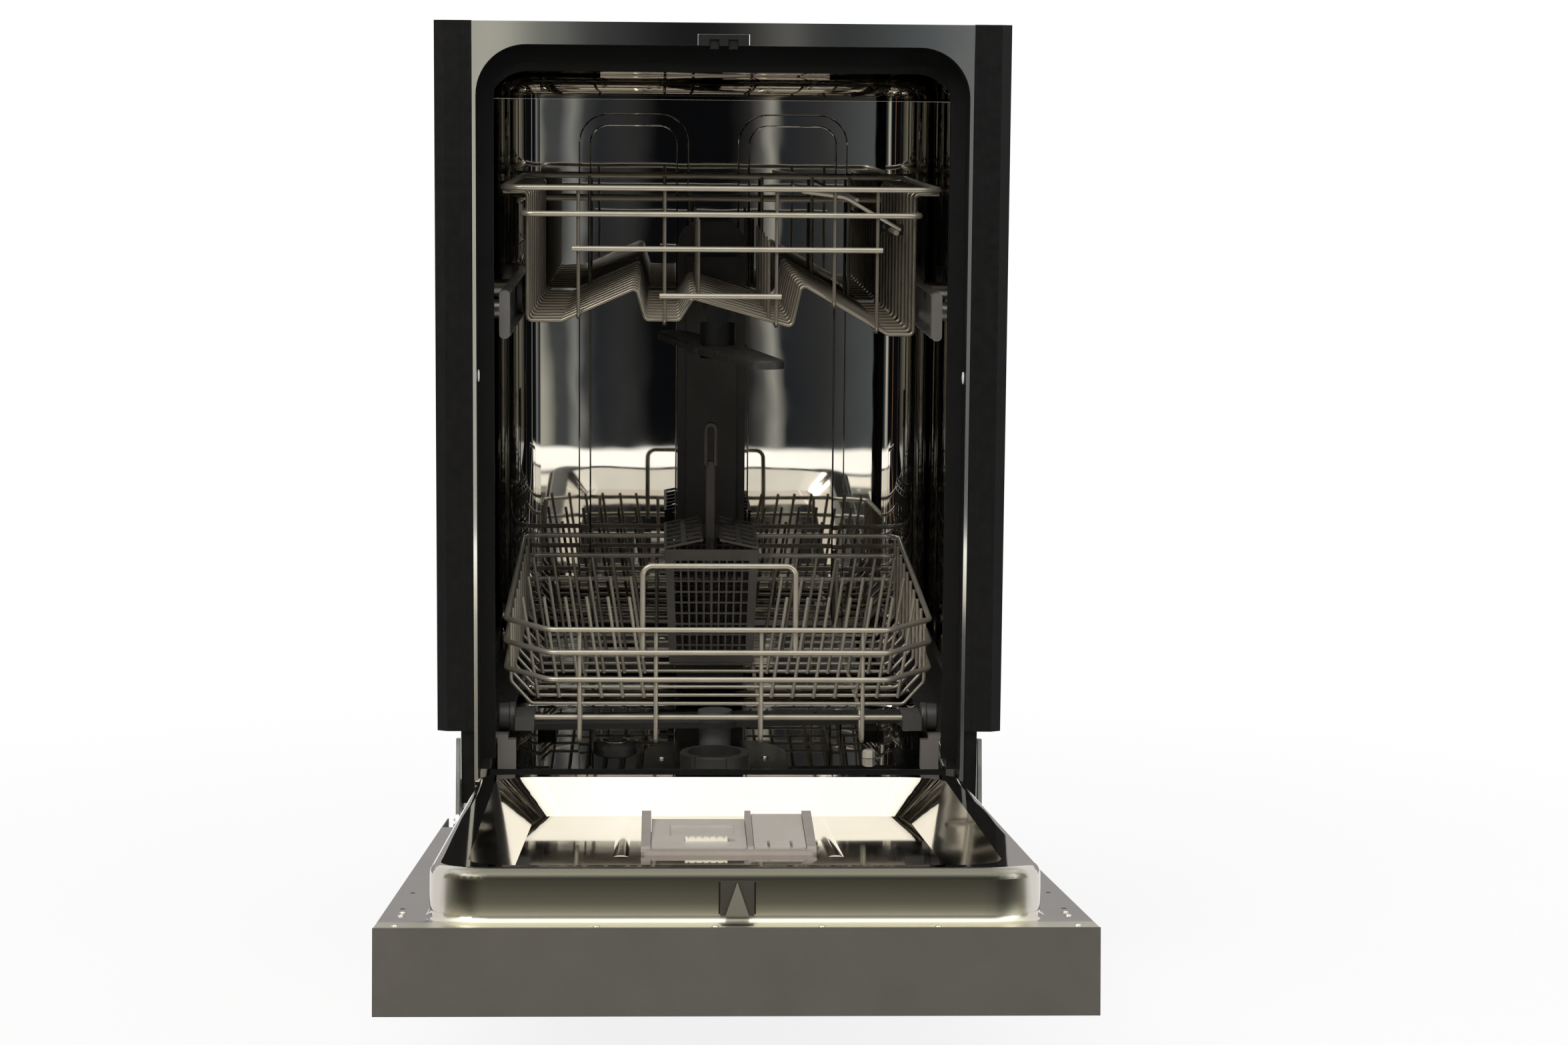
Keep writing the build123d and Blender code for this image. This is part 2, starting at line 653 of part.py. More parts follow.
def base_tray():
    outer = block((-BASE_HALF, BASE_HALF), (BASE_FRONT, BASE_BACK), (BASE_BOTTOM, BASE_TOP))
    half = BASE_HALF - BASE_WALL
    room = (BASE_FRONT + BASE_WALL, BASE_BACK - BASE_WALL)
    tray = outer - block((-half, half), room, (BASE_BOTTOM + BASE_WALL, BASE_TOP + 1))
    low_front = (BASE_FRONT - 1, BASE_FRONT + BASE_WALL + 1)
    tray -= block((-half, half), low_front, (BASE_FRONT_TOP, BASE_TOP + 1))
    for side in SIDES:
        ledge = (side * (half - LEDGE_WIDTH), side * (half + 1))
        tray += block(ledge, room, (BASE_TOP - LEDGE_THICK, BASE_TOP))
        anchor = (side * (TUB_HALF - SPRING_RADIUS), side * (half + 1))
        for y in (SPRING_FRONT - 12, SPRING_FRONT + SPRING_LENGTH + 12):
            tray += block(anchor, (y - 3, y + 3), (SPRING_Z - 6, SPRING_Z + 6))
        slot = (side * (HINGE_BRACKET_X - 1), side * (HINGE_BRACKET_X + HINGE_PLATE + 1))
        tray -= block(slot, low_front, (BRACKET_LOW - 2, BASE_TOP + 1))
    for x, y in foot_places():
        tray += rod((x, y, FOOT_HEIGHT + RUNNING_GAP), (x, y, STUD_TOP), BOSS_RADIUS)
        tray -= rod((x, y, 0), (x, y, STUD_TOP + 1), STUD_RADIUS + RUNNING_GAP)
    back = (BASE_BACK - BASE_WALL - 1, BASE_BACK + 1)
    ports = ((VALVE_X, VALVE_Z, INLET_RADIUS), (DRAIN_X, DRAIN_Z, SPIGOT_RADIUS))
    for x, z, radius in ports:
        tray -= rod((x, back[0], z), (x, back[1], z), radius + COLLAR_STEP + RUNNING_GAP)
    return [tray]


def kick_plate():
    back = BASE_FRONT - TOUCH
    plate = block((-BASE_HALF, BASE_HALF), (back - KICK_THICK, back), (KICK_BOTTOM, KICK_TOP))
    hem = block((-BASE_HALF, BASE_HALF), (back - 8, back), (KICK_TOP - KICK_THICK, KICK_TOP))
    return [plate + hem]


def foot(x, y):
    pad = rod((x, y, 0), (x, y, FOOT_HEIGHT), FOOT_RADIUS)
    pad = chamfer(pad.edges().sort_by(Axis.Z)[-1], FOOT_HEIGHT / 3)
    return [pad + rod((x, y, FOOT_HEIGHT / 2), (x, y, STUD_TOP - 2), STUD_RADIUS)]


def hinge_brackets():
    """Fixed plates that carry the door's pivot pins."""
    x = (HINGE_BRACKET_X, HINGE_BRACKET_X + HINGE_PLATE)
    low, high = BRACKET_LOW, BASE_TOP - LEDGE_THICK - 1
    nose = rod_x(x, PIVOT_Y, PIVOT_Z, HINGE_NOSE)
    back = BASE_FRONT + HINGE_BRACKET_LENGTH
    outline = [
        (PIVOT_Y, PIVOT_Z - HINGE_NOSE),
        (BASE_FRONT + 6, low),
        (back, low),
        (back, high),
        (PIVOT_Y + HINGE_NOSE / 2, high),
        (PIVOT_Y, PIVOT_Z + HINGE_NOSE / 2),
    ]
    plate = side_plate(outline, x) + nose
    pin_end = HINGE_ARM_X + HINGE_PLATE + 2
    plate += rod_x((HINGE_BRACKET_X, pin_end), PIVOT_Y, PIVOT_Z, HINGE_PIN_RADIUS)
    boss_end = BASE_HALF - BASE_WALL - TOUCH
    for y in (BASE_FRONT + 25, back - 20):
        plate += rod_x((HINGE_BRACKET_X, boss_end), y, low + 20, 6)
    return mirrored(plate)


def door_springs():
    x = TUB_HALF + 1
    back = SPRING_FRONT + SPRING_LENGTH
    spring = rod((x, SPRING_FRONT, SPRING_Z), (x, back, SPRING_Z), SPRING_RADIUS)
    spring += rod((x, SPRING_FRONT - 9 + TOUCH, SPRING_Z), (x, back + 9 - TOUCH, SPRING_Z), SPRING_ROD_RADIUS)
    return mirrored(spring)


# Water works


def sump():
    top = TUB_FLOOR - SHEET - TOUCH
    bowl = slot_prism(SUMP_LENGTH, SUMP_WIDTH, SUMP_Y, (SUMP_BOTTOM, top))
    inner_length, inner_width = SUMP_LENGTH - 2 * SUMP_WALL, SUMP_WIDTH - 2 * SUMP_WALL
    bowl -= slot_prism(inner_length, inner_width, SUMP_Y, (SUMP_BOTTOM + SUMP_WALL, top + 1))
    rim = slot_prism(SUMP_LENGTH + SUMP_FLANGE, SUMP_WIDTH + SUMP_FLANGE, SUMP_Y, (top - SUMP_WALL, top))
    bowl += rim - slot_prism(inner_length, inner_width, SUMP_Y, (top - 2 * SUMP_WALL, top + 1))
    shoulder = LOWER_ARM_Z - RUNNING_GAP
    arm_top = LOWER_ARM_Z + ARM_THICK
    bowl += rod((0, POST_Y, SUMP_BOTTOM + 1), (0, POST_Y, shoulder), POST_RADIUS + 4)
    bowl += rod((0, POST_Y, SUMP_BOTTOM + 1), (0, POST_Y, arm_top + 4), POST_RADIUS)
    bowl += rod((0, POST_Y, arm_top + RUNNING_GAP), (0, POST_Y, arm_top + 5), POST_RADIUS + 5)
    return [bowl]


def filter_plate():
    z = (TUB_FLOOR + TOUCH, TUB_FLOOR + TOUCH + FILTER_PLATE)
    plate = slot_prism(SUMP_LENGTH, SUMP_WIDTH, SUMP_Y, z)
    plate -= rod((FILTER_X, FILTER_Y, z[0] - 1), (FILTER_X, FILTER_Y, z[1] + 1), FILTER_RADIUS + RUNNING_GAP)
    return [plate - rod((0, POST_Y, z[0] - 1), (0, POST_Y, z[1] + 1), POST_RADIUS + 4 + RUNNING_GAP)]


def filter_cup():
    seat = TUB_FLOOR + TOUCH + FILTER_PLATE + TOUCH
    bottom = TUB_FLOOR - FILTER_DEEP
    cup = rod((FILTER_X, FILTER_Y, bottom), (FILTER_X, FILTER_Y, seat + 2), FILTER_RADIUS)
    head = rod((FILTER_X, FILTER_Y, seat), (FILTER_X, FILTER_Y, FILTER_TOP), FILTER_HEAD_RADIUS)
    head = chamfer(head.edges().sort_by(Axis.Z)[-1], FILTER_GRIP_RADIUS / 3)
    for number in range(FILTER_GRIPS):
        angle = math.radians(FILTER_GRIP_ANGLE - 90 + number * 360 / FILTER_GRIPS)
        x = FILTER_X + (FILTER_HEAD_RADIUS + FILTER_GRIP_RADIUS / 3) * math.cos(angle)
        y = FILTER_Y + (FILTER_HEAD_RADIUS + FILTER_GRIP_RADIUS / 3) * math.sin(angle)
        head -= rod((x, y, seat - 1), (x, y, FILTER_TOP + 1), FILTER_GRIP_RADIUS)
    cup += head
    bore = (FILTER_X, FILTER_Y, bottom + SUMP_WALL), (FILTER_X, FILTER_Y, FILTER_TOP + 1)
    return [cup - rod(*bore, FILTER_RADIUS - SUMP_WALL)]


def arm_form(y, z, half, angle, bore):
    """A flat spray arm that tapers to round tips, with a raised hub, nozzles and a bore."""
    spine = [(0, -ARM_WIDTH / 2), (half - ARM_TIP_WIDTH / 2, -ARM_TIP_WIDTH / 2)]
    spine += [(half - ARM_TIP_WIDTH / 2, ARM_TIP_WIDTH / 2), (0, ARM_WIDTH / 2)]
    wing = make_face(Polyline(*spine, close=True))
    wing += Pos(half - ARM_TIP_WIDTH / 2, 0) * Circle(ARM_TIP_WIDTH / 2)
    plan = wing + Rot(0, 0, 180) * wing + Circle(ARM_HUB_RADIUS)
    arm = extrude(plan, amount=ARM_THICK)
    arm = chamfer(arm.faces().sort_by(Axis.Z)[-1].outer_wire().edges(), ARM_THICK / 4)
    step = (half - ARM_TIP_WIDTH - ARM_HUB_RADIUS) / ARM_NOZZLES
    for number in range(ARM_NOZZLES):
        for side in SIDES:
            x = side * (ARM_HUB_RADIUS + (number + 1) * step)
            shift = side * (-1) ** number * ARM_TIP_WIDTH / 6
            arm -= rod((x, shift, ARM_THICK / 2), (x, shift, ARM_THICK + 1), ARM_NOZZLE_RADIUS)
    arm -= rod((0, 0, -1), (0, 0, ARM_THICK + 1), bore + SHAFT_GAP)
    return [Pos(0, y, z) * Rot(0, 0, angle) * arm]


def lower_spray_arm():
    return arm_form(POST_Y, LOWER_ARM_Z, LOWER_ARM_HALF, LOWER_ARM_ANGLE, POST_RADIUS)


def upper_spray_arm():
    return arm_form(UPPER_ARM_Y, UPPER_ARM_Z, UPPER_ARM_HALF, UPPER_ARM_ANGLE, HUB_RADIUS)


def circulation_pump():
    x = (PUMP_X, PUMP_X + PUMP_LENGTH)
    body = rod_x(x, PUMP_Y, PUMP_Z, PUMP_RADIUS)
    body = fillet(body.edges().filter_by(GeomType.CIRCLE), 6)
    body += rod_x((x[0] - 12, x[0] + 10), PUMP_Y, PUMP_Z, PUMP_RADIUS * 0.7)
    neck_end = SUMP_Y + SUMP_LENGTH / 2 - SUMP_WIDTH / 2
    port = (SUMP_WIDTH / 2 + TOUCH, neck_end, PUMP_Z + 30)
    body += wire([port, (PUMP_X + 30, neck_end, PUMP_Z + 30), (PUMP_X + 30, PUMP_Y, PUMP_Z + 30)], 28, 16)
    foot_box = (x[0] + 15, x[1] - 15), (PUMP_Y - 20, PUMP_Y + 20)
    return [body + block(*foot_box, (BASE_BOTTOM + BASE_WALL + TOUCH, PUMP_Z))]


def drain_pump():
    back = BASE_BACK - BASE_WALL - TOUCH
    body = rod((DRAIN_X, back - DRAIN_LENGTH, DRAIN_Z), (DRAIN_X, back, DRAIN_Z), DRAIN_RADIUS)
    start = (DRAIN_X, back - 1, DRAIN_Z)
    end = (DRAIN_X, BASE_BACK + SPIGOT_LENGTH, DRAIN_Z)
    body += rod(start, end, SPIGOT_RADIUS)
    body += rod(start, (DRAIN_X, BASE_BACK + COLLAR_STEP, DRAIN_Z), SPIGOT_RADIUS + COLLAR_STEP)
    return [body - rod((DRAIN_X, back + 1, DRAIN_Z), end, SPIGOT_RADIUS - 2)]


def softener_tank():
    top = TUB_FLOOR - SHEET - TOUCH
    x = (TANK_X - TANK_HALF_X, TANK_X + TANK_HALF_X)
    y = (TANK_Y - TANK_HALF_Y, TANK_Y + TANK_HALF_Y)
    tank = block(x, y, (TANK_BOTTOM, top - 12))
    tank = fillet(tank.edges().filter_by(Axis.Z), TANK_HALF_X / 3)
    tank += rod((TANK_X, TANK_Y, top - 14), (TANK_X, TANK_Y, top), NECK_RADIUS + 3)
    tank += rod((TANK_X, TANK_Y, top - 14), (TANK_X, TANK_Y, TUB_FLOOR + 4), NECK_RADIUS)
    tank -= rod((TANK_X, TANK_Y, top - 30), (TANK_X, TANK_Y, TUB_FLOOR + 5), NECK_RADIUS - SUMP_WALL)
    return [tank + block(x, (TANK_Y - 8, TANK_Y + 8), (BASE_BOTTOM + BASE_WALL + TOUCH, TANK_BOTTOM + 1))]


def salt_cap():
    seat = TUB_FLOOR + TOUCH
    cap = rod((TANK_X, TANK_Y, seat), (TANK_X, TANK_Y, seat + CAP_HEIGHT), CAP_RADIUS)
    cap = chamfer(cap.edges().sort_by(Axis.Z)[-1], CAP_HEIGHT / 4)
    room = (TANK_X, TANK_Y, seat - 1), (TANK_X, TANK_Y, seat + 5)
    cap -= rod(*room, NECK_RADIUS + RUNNING_GAP)
    grip = RegularPolygon(CAP_RADIUS * 0.55, 6)
    return [cap + extrude(Plane((TANK_X, TANK_Y, seat + CAP_HEIGHT - 1)) * grip, amount=CAP_HEIGHT / 2)]


def float_cap():
    seat = TUB_FLOOR + RUNNING_GAP
    cap = extrude(Plane((FLOAT_X, FLOAT_Y, seat)) * RegularPolygon(FLOAT_RADIUS, 6), amount=FLOAT_HEIGHT)
    cap = chamfer(cap.faces().sort_by(Axis.Z)[-1].edges(), FLOAT_HEIGHT / 6)
    stem = TUB_FLOOR - SHEET - FLOAT_TRAVEL
    return [cap + rod((FLOAT_X, FLOAT_Y, stem), (FLOAT_X, FLOAT_Y, seat + 1), FLOAT_STEM_RADIUS)]


def inlet_valve():
    back = BASE_BACK - BASE_WALL - TOUCH
    half = VALVE_SIZE / 2
    x, z = (VALVE_X - half, VALVE_X + half), (VALVE_Z - half, VALVE_Z + half)
    body = block(x, (back - VALVE_SIZE, back), z)
    body = fillet(body.edges().filter_by(Axis.Y), 4)
    body += rod((VALVE_X, back - 40, VALVE_Z + 8), (VALVE_X, back - 40, VALVE_Z + 45), 8)
    body += rod((VALVE_X, back - 40, VALVE_Z + 8), (VALVE_X, back - 20, VALVE_Z + 8), 8)
    start = (VALVE_X, back - 1, VALVE_Z)
    end = (VALVE_X, BASE_BACK + INLET_LENGTH, VALVE_Z)
    body += rod(start, end, INLET_RADIUS)
    body += rod(start, (VALVE_X, BASE_BACK + COLLAR_STEP, VALVE_Z), INLET_RADIUS + COLLAR_STEP)
    return [body - rod((VALVE_X, back + 2, VALVE_Z), end, INLET_RADIUS - 4)]


def air_breaker():
    near = -TUB_HALF - SHEET - TOUCH
    y, z = (BREAKER_FRONT, BREAKER_BACK), (BREAKER_BOTTOM, BREAKER_TOP)
    box = block((near - BREAKER_THICK, near), y, z)
    box = fillet(box.edges().filter_by(Axis.X), 18)
    cells = 4
    pitch = (BREAKER_BACK - BREAKER_FRONT - 24) / cells
    for number in range(cells):
        cell = (BREAKER_FRONT + 14 + number * pitch, BREAKER_FRONT + 10 + (number + 1) * pitch)
        depth = (near - BREAKER_THICK - 1, near - BREAKER_THICK + 3)
        box -= block(depth, cell, (BREAKER_BOTTOM + 22, BREAKER_TOP - 22))
    return [box]


def water_column():
    """The riser on the back wall, narrower in front, with a docking port at its head."""
    low = TUB_FLOOR + PAN_ROUND
    x = (COLUMN_X - COLUMN_HALF, COLUMN_X + COLUMN_HALF)
    face = (COLUMN_X - COLUMN_FACE_HALF, COLUMN_X + COLUMN_FACE_HALF)
    middle = (COLUMN_FRONT + COLUMN_BACK) / 2
    riser = block(x, (middle, COLUMN_BACK), (low, COLUMN_TOP))
    riser = fillet(riser.edges().filter_by(Axis.Y).group_by(Axis.Z)[-1], COLUMN_HALF * 0.7)
    riser += block(face, (COLUMN_FRONT + 4, middle + 1), (low, COLUMN_STEP_Z))
    riser += block(face, (COLUMN_FRONT, middle + 1), (COLUMN_STEP_Z - 1, COLUMN_TOP - COLUMN_HALF))
    riser += block(face, (COLUMN_BACK - 1, TUB_BACK - RIB_RISE - TOUCH), (low, COLUMN_STEP_Z))
    stay = (COLUMN_X - 8, COLUMN_X + 8)
    riser += block(stay, (COLUMN_BACK - 1, TUB_BACK - TOUCH), (COLUMN_STEP_Z - 40, COLUMN_STEP_Z))
    port = (COLUMN_X, COLUMN_FRONT - 1, FEED_Z), (COLUMN_X, middle, FEED_Z)
    return [riser - rod(*port, FEED_RADIUS - 3)]


# Lower rack


def lower_loop(z):
    """Points of one loop of the lower rack, open at the middle of the back, higher at the back."""
    def height(y):
        return z + LOWER_BACK_RISE * (y - LOWER_FRONT) / (RACK_BACK - LOWER_FRONT)

    plan = [(TOUCH, RACK_BACK), (LOWER_HALF, RACK_BACK), (LOWER_HALF, LOWER_CHAMFER_Y)]
    plan += [(LOWER_CHAMFER_X, LOWER_FRONT)]
    plan += [(-x, y) for x, y in reversed(plan)]
    return [(x, y, height(y)) for x, y in plan]


def lower_rack_rails():
    rails = [wire(lower_loop(z), RAIL_WIRE, RACK_CORNER) for z in (LOWER_TOP_Z, LOWER_MID_Z, LOWER_LOW_Z)]
    inner = LOWER_FRONT + RAIL_WIRE + TOUCH
    legs = [(side * HANDLE_HALF, inner, LOWER_MID_Z - RAIL_WIRE) for side in SIDES]
    tops = [(side * HANDLE_HALF, inner, HANDLE_TOP) for side in SIDES]
    rails.append(wire([legs[0], tops[0], tops[1], legs[1]], RAIL_WIRE, RACK_CORNER / 2))
    bar_y = LOWER_FRONT + (RAIL_WIRE + LOWER_RUNNER) / 2 + (LOWER_RUNNER + RAIL_WIRE) / 2 + 2 * TOUCH
    ends = [(side * (LOWER_FLOOR_HALF - WHEEL_BLOCK_INSET), bar_y, LOWER_BAR_Z) for side in SIDES]
    rails.append(rod(*ends, RAIL_WIRE / 2))
    return rails


def lower_wire_ys():
    return [LOWER_FIRST_WIRE + number * LOWER_PITCH for number in range(LOWER_WIRES)]


def lower_rack_wires():
    wires = []
    side = LOWER_HALF - WIRE_STEP
    rise = LOWER_BACK_RISE / (RACK_BACK - LOWER_FRONT)
    for y in lower_wire_ys():
        top = LOWER_TOP_Z + rise * (y - LOWER_FRONT)
        half = [(side, y, top), (side, y, LOWER_SLANT_Z), (LOWER_FLOOR_HALF, y, LOWER_FLOOR_Z)]
        wires.append(wire(half + [(-x, y, z) for x, y, z in reversed(half)], THIN_WIRE, 6))
    under = LOWER_FLOOR_Z - (THIN_WIRE + LOWER_RUNNER) / 2 - TOUCH
    front = LOWER_FRONT + (RAIL_WIRE + LOWER_RUNNER) / 2 + TOUCH
    back = RACK_BACK - (RAIL_WIRE + LOWER_RUNNER) / 2 - TOUCH
    for x in LOWER_UPRIGHT_XS:
        route = [(x, front, LOWER_TOP_Z), (x, front, LOWER_DIP_Z), (x, front + 18, LOWER_DIP_Z)]
        route += [(x, front + 36, under), (x, back, under), (x, back, LOWER_TOP_Z)]
        wires.append(wire(route, LOWER_RUNNER, 6))
    return wires


def lower_rack_tines():
    tines = []
    for row in range(TINE_ROWS):
        number = FIRST_TINE_ROW + row * TINE_ROW_STEP
        y = LOWER_FIRST_WIRE + number * LOWER_PITCH - THIN_WIRE - TOUCH
        left = [LEFT_TINE_X - number * TINE_PITCH for number in range(LEFT_TINES)]
        right = [RIGHT_TINE_X + number * TINE_PITCH for number in range(RIGHT_TINES)]
        for x in left + right:
            foot_z = LOWER_FLOOR_Z - THIN_WIRE / 2
            lean = math.copysign(TINE_LEAN, x)
            if abs(x) < LOWER_FLOOR_HALF:
                tines.append(rod((x, y, foot_z), (x + lean, y, TINE_TOP), THIN_WIRE / 2))
    return tines


def wheel_bracket(y):
    """A plastic block under the floor wires, with the axle that the wheel turns on."""
    x = (LOWER_FLOOR_HALF - WHEEL_BLOCK_INSET + TOUCH, WHEEL_INNER - RUNNING_GAP)
    top = LOWER_FLOOR_Z - THIN_WIRE / 2 - TOUCH
    holder = block(x, (y - WHEEL_BLOCK_HALF, y + WHEEL_BLOCK_HALF), (WHEEL_Z - WHEEL_BLOCK_DROP, top))
    holder += rod_x((x[1] - 2, WHEEL_OUTER + AXLE_END), y, WHEEL_Z, AXLE_RADIUS)
    return holder + rod_x((WHEEL_OUTER + RUNNING_GAP, WHEEL_OUTER + AXLE_END), y, WHEEL_Z, AXLE_RADIUS + 2)


def lower_wheel_brackets():
    return mirrored(wheel_bracket(WHEEL_FRONT_Y)) + mirrored(wheel_bracket(WHEEL_BACK_Y))


def lower_wheels(y):
    """Rollers with a tread that runs on the ledge and a flange that guides it inside."""
    flange_end = WHEEL_INNER + WHEEL_FLANGE
    wheel = rod_x((WHEEL_INNER, WHEEL_OUTER), y, WHEEL_Z, WHEEL_RADIUS)
    wheel = fillet(wheel.edges().filter_by(GeomType.CIRCLE), 1.5)
    flange = rod_x((WHEEL_INNER, flange_end), y, WHEEL_Z, WHEEL_FLANGE_RADIUS)
    wheel += fillet(flange.edges().filter_by(GeomType.CIRCLE), 1.5)
    wheel -= rod_x((WHEEL_INNER - 1, WHEEL_OUTER + 1), y, WHEEL_Z, AXLE_RADIUS + SHAFT_GAP)
    return mirrored(wheel)


def lower_tracks():
    y = (TUB_FRONT + TOUCH, TUB_BACK - TUB_CORNER)
    wall = TUB_HALF - TOUCH
    ledge = block((TRACK_INNER, wall), y, (TRACK_TOP - TRACK_THICK, TRACK_TOP))
    ledge += block((wall - TRACK_THICK, wall), y, (TRACK_TOP - TRACK_THICK, TRACK_TOP + 2 * WHEEL_RADIUS))
    below = TRACK_TOP - TRACK_THICK
    stop_y = (y[0], y[0] + TRACK_STOP_DEPTH)
    stop_x = (WHEEL_OUTER - TRACK_STOP_WIDTH, WHEEL_OUTER)
    stop_top = WHEEL_Z - WHEEL_FLANGE_RADIUS - WHEEL_FLANGE_ROOM
    stop = block(stop_x, stop_y, (TRACK_STOP_BOTTOM, stop_top))
    stop += block((TRACK_INNER, WHEEL_OUTER), stop_y, (TRACK_STOP_BOTTOM, below))
    return mirrored(ledge + stop)


# Cutlery basket


def cutlery_basket():
    half = BASKET_WIDTH / 2
    x = (BASKET_X - half, BASKET_X + half)
    y = (BASKET_FRONT, BASKET_BACK)
    z = (BASKET_BOTTOM, BASKET_TOP)
    inside = block(
        (x[0] + BASKET_WALL, x[1] - BASKET_WALL),
        (y[0] + BASKET_WALL, y[1] - BASKET_WALL),
        (z[0] + BASKET_WALL, z[1] + 1),
    )
    shell = block(x, y, z) - inside
    row = (BASKET_HEIGHT - BASKET_BAR) / BASKET_ROWS
    column = (BASKET_WIDTH - BASKET_BAR) / BASKET_COLUMNS
    side_column = (BASKET_BACK - BASKET_FRONT - BASKET_BAR) / BASKET_SIDE_COLUMNS
    holes = []
    for level in range(BASKET_ROWS):
        low = z[0] + BASKET_BAR + level * row
        cell_z = (low, low + row - BASKET_BAR)
        for number in range(BASKET_COLUMNS):
            left = x[0] + BASKET_BAR + number * column
            holes.append(block((left, left + column - BASKET_BAR), (y[0] - 1, y[1] + 1), cell_z))
        for number in range(BASKET_SIDE_COLUMNS):
            near = y[0] + BASKET_BAR + number * side_column
            holes.append(block((x[0] - 1, x[1] + 1), (near, near + side_column - BASKET_BAR), cell_z))
    shell = shell.cut(*[hole.solid() for hole in holes])
    divider_x = (BASKET_X - BASKET_WALL / 2, BASKET_X + BASKET_WALL / 2)
    shell = Part() + shell + block(divider_x, (y[0] + 1, y[1] - 1), (z[0] + 1, z[1]))
    middle = (y[0] + y[1]) / 2
    grip = (middle - BASKET_HANDLE_DEPTH / 2, middle + BASKET_HANDLE_DEPTH / 2)
    bar = BASKET_HANDLE_WIDTH / 2
    shell += block((BASKET_X - bar, BASKET_X + bar), grip, (z[1] - 30, BASKET_HANDLE_TOP))
    slot = (grip[0] + 4, grip[1] - 4)
    shell -= block((BASKET_X - bar - 1, BASKET_X + bar + 1), slot, (BASKET_SLOT_LOW, BASKET_SLOT_HIGH))
    finger = (BASKET_X - bar + 3, BASKET_X + bar - 3)
    return [shell - block(finger, (grip[0] - 1, grip[1] + 1), (BASKET_SLOT_LOW, BASKET_SLOT_HIGH))]


def basket_lid(side):
    """A slotted grid that slopes down from the middle, hinged along the basket's outer top edge."""
    outer = BASKET_X + side * BASKET_WIDTH / 2
    inner = BASKET_X + side * (BASKET_HANDLE_WIDTH / 2 + 1)
    span = abs(outer - inner)
    y = (BASKET_FRONT + 1, BASKET_BACK - 1)
    lid = block((0, span), y, (0, LID_THICK))
    column = span / LID_SLOT_COLUMNS
    row = (y[1] - y[0]) / LID_SLOT_ROWS
    for number in range(LID_SLOT_COLUMNS):
        for level in range(LID_SLOT_ROWS):
            slot_x = (number * column + 2.5, (number + 1) * column - 2)
            slot_y = (y[0] + level * row + 3, y[0] + (level + 1) * row - 3)
            lid -= block(slot_x, slot_y, (-1, LID_THICK + 1))
    lid = Pos(0, 0, BASKET_TOP + RUNNING_GAP) * Rot(0, -LID_SLOPE, 0) * lid
    lid = Pos(BASKET_X - BASKET_WIDTH / 2, 0, 0) * lid
    return [lid if side < 0 else mirror(lid, about=Plane.YZ.offset(BASKET_X))]


# Upper rack


def upper_loop(half, front, back, z):
    plan = [(TOUCH, back), (half, back), (half, front), (-half, front), (-half, back), (-TOUCH, back)]
    return [(x, y, z) for x, y in plan]


def wave_height(x, below=0):
    """The height of the shaped cross wires at a place across the rack, or of a line square below them."""
    points = [(-UPPER_SIDE_HALF, WAVE_LEFT_Z), *WAVE_POINTS, (UPPER_SIDE_HALF, WAVE_RIGHT_Z)]
    for (x0, z0), (x1, z1) in zip(points, points[1:]):
        if x0 <= x <= x1:
            slope = (z1 - z0) / (x1 - x0)
            return z0 + slope * (x - x0) - below * math.hypot(1, slope)


def upper_rack_rails():
    second_half = UPPER_SIDE_HALF + WIRE_STEP
    rails = [wire(upper_loop(UPPER_TOP_HALF, RACK_FRONT, RACK_BACK, UPPER_TOP_Z), RAIL_WIRE, RACK_CORNER)]
    second = upper_loop(second_half, RACK_FRONT, RACK_BACK, UPPER_SECOND_Z)
    rails.append(wire(second, RAIL_WIRE, RACK_CORNER / 2))
    for ends, z in ((UPPER_THIRD_X, UPPER_THIRD_Z), (UPPER_FOURTH_X, UPPER_FOURTH_Z)):
        rails.append(rod((ends[0], RACK_FRONT, z), (ends[1], RACK_FRONT, z), RAIL_WIRE / 2))
    return rails


def upper_rack_wires():
    wires = []
    ledge_z = UPPER_TOP_Z - WIRE_STEP
    left = [(-UPPER_TOP_HALF, ledge_z), (-UPPER_SIDE_HALF, ledge_z), (-UPPER_SIDE_HALF, WAVE_LEFT_Z)]
    right = [(UPPER_SIDE_HALF, WAVE_RIGHT_Z), (UPPER_SIDE_HALF, ledge_z), (UPPER_TOP_HALF, ledge_z)]
    profile = left + list(WAVE_POINTS) + right
    for number in range(UPPER_WIRES):
        y = UPPER_FIRST_WIRE + number * UPPER_PITCH
        wires.append(wire([(x, y, z) for x, z in profile], THIN_WIRE, WAVE_BEND))
    front = RACK_FRONT + WIRE_STEP
    back = RACK_BACK - WIRE_STEP
    for x in UPPER_UPRIGHT_XS:
        under = wave_height(x, THIN_WIRE + TOUCH)
        route = [(x, front, UPPER_TOP_Z), (x, front, under), (x, back, under), (x, back, UPPER_TOP_Z)]
        wires.append(wire(route, THIN_WIRE, 5))
    for x in UPPER_TINE_XS:
        foot_z = wave_height(x) + THIN_WIRE / 2 + TOUCH
        for number in range(1, UPPER_WIRES - 1, 2):
            y = UPPER_FIRST_WIRE + number * UPPER_PITCH
            beside = y - THIN_WIRE - TOUCH
            top = foot_z + UPPER_TINE_HEIGHT
            wires.append(rod((x, beside, foot_z - THIN_WIRE), (x, beside, top), THIN_WIRE / 2))
    return wires


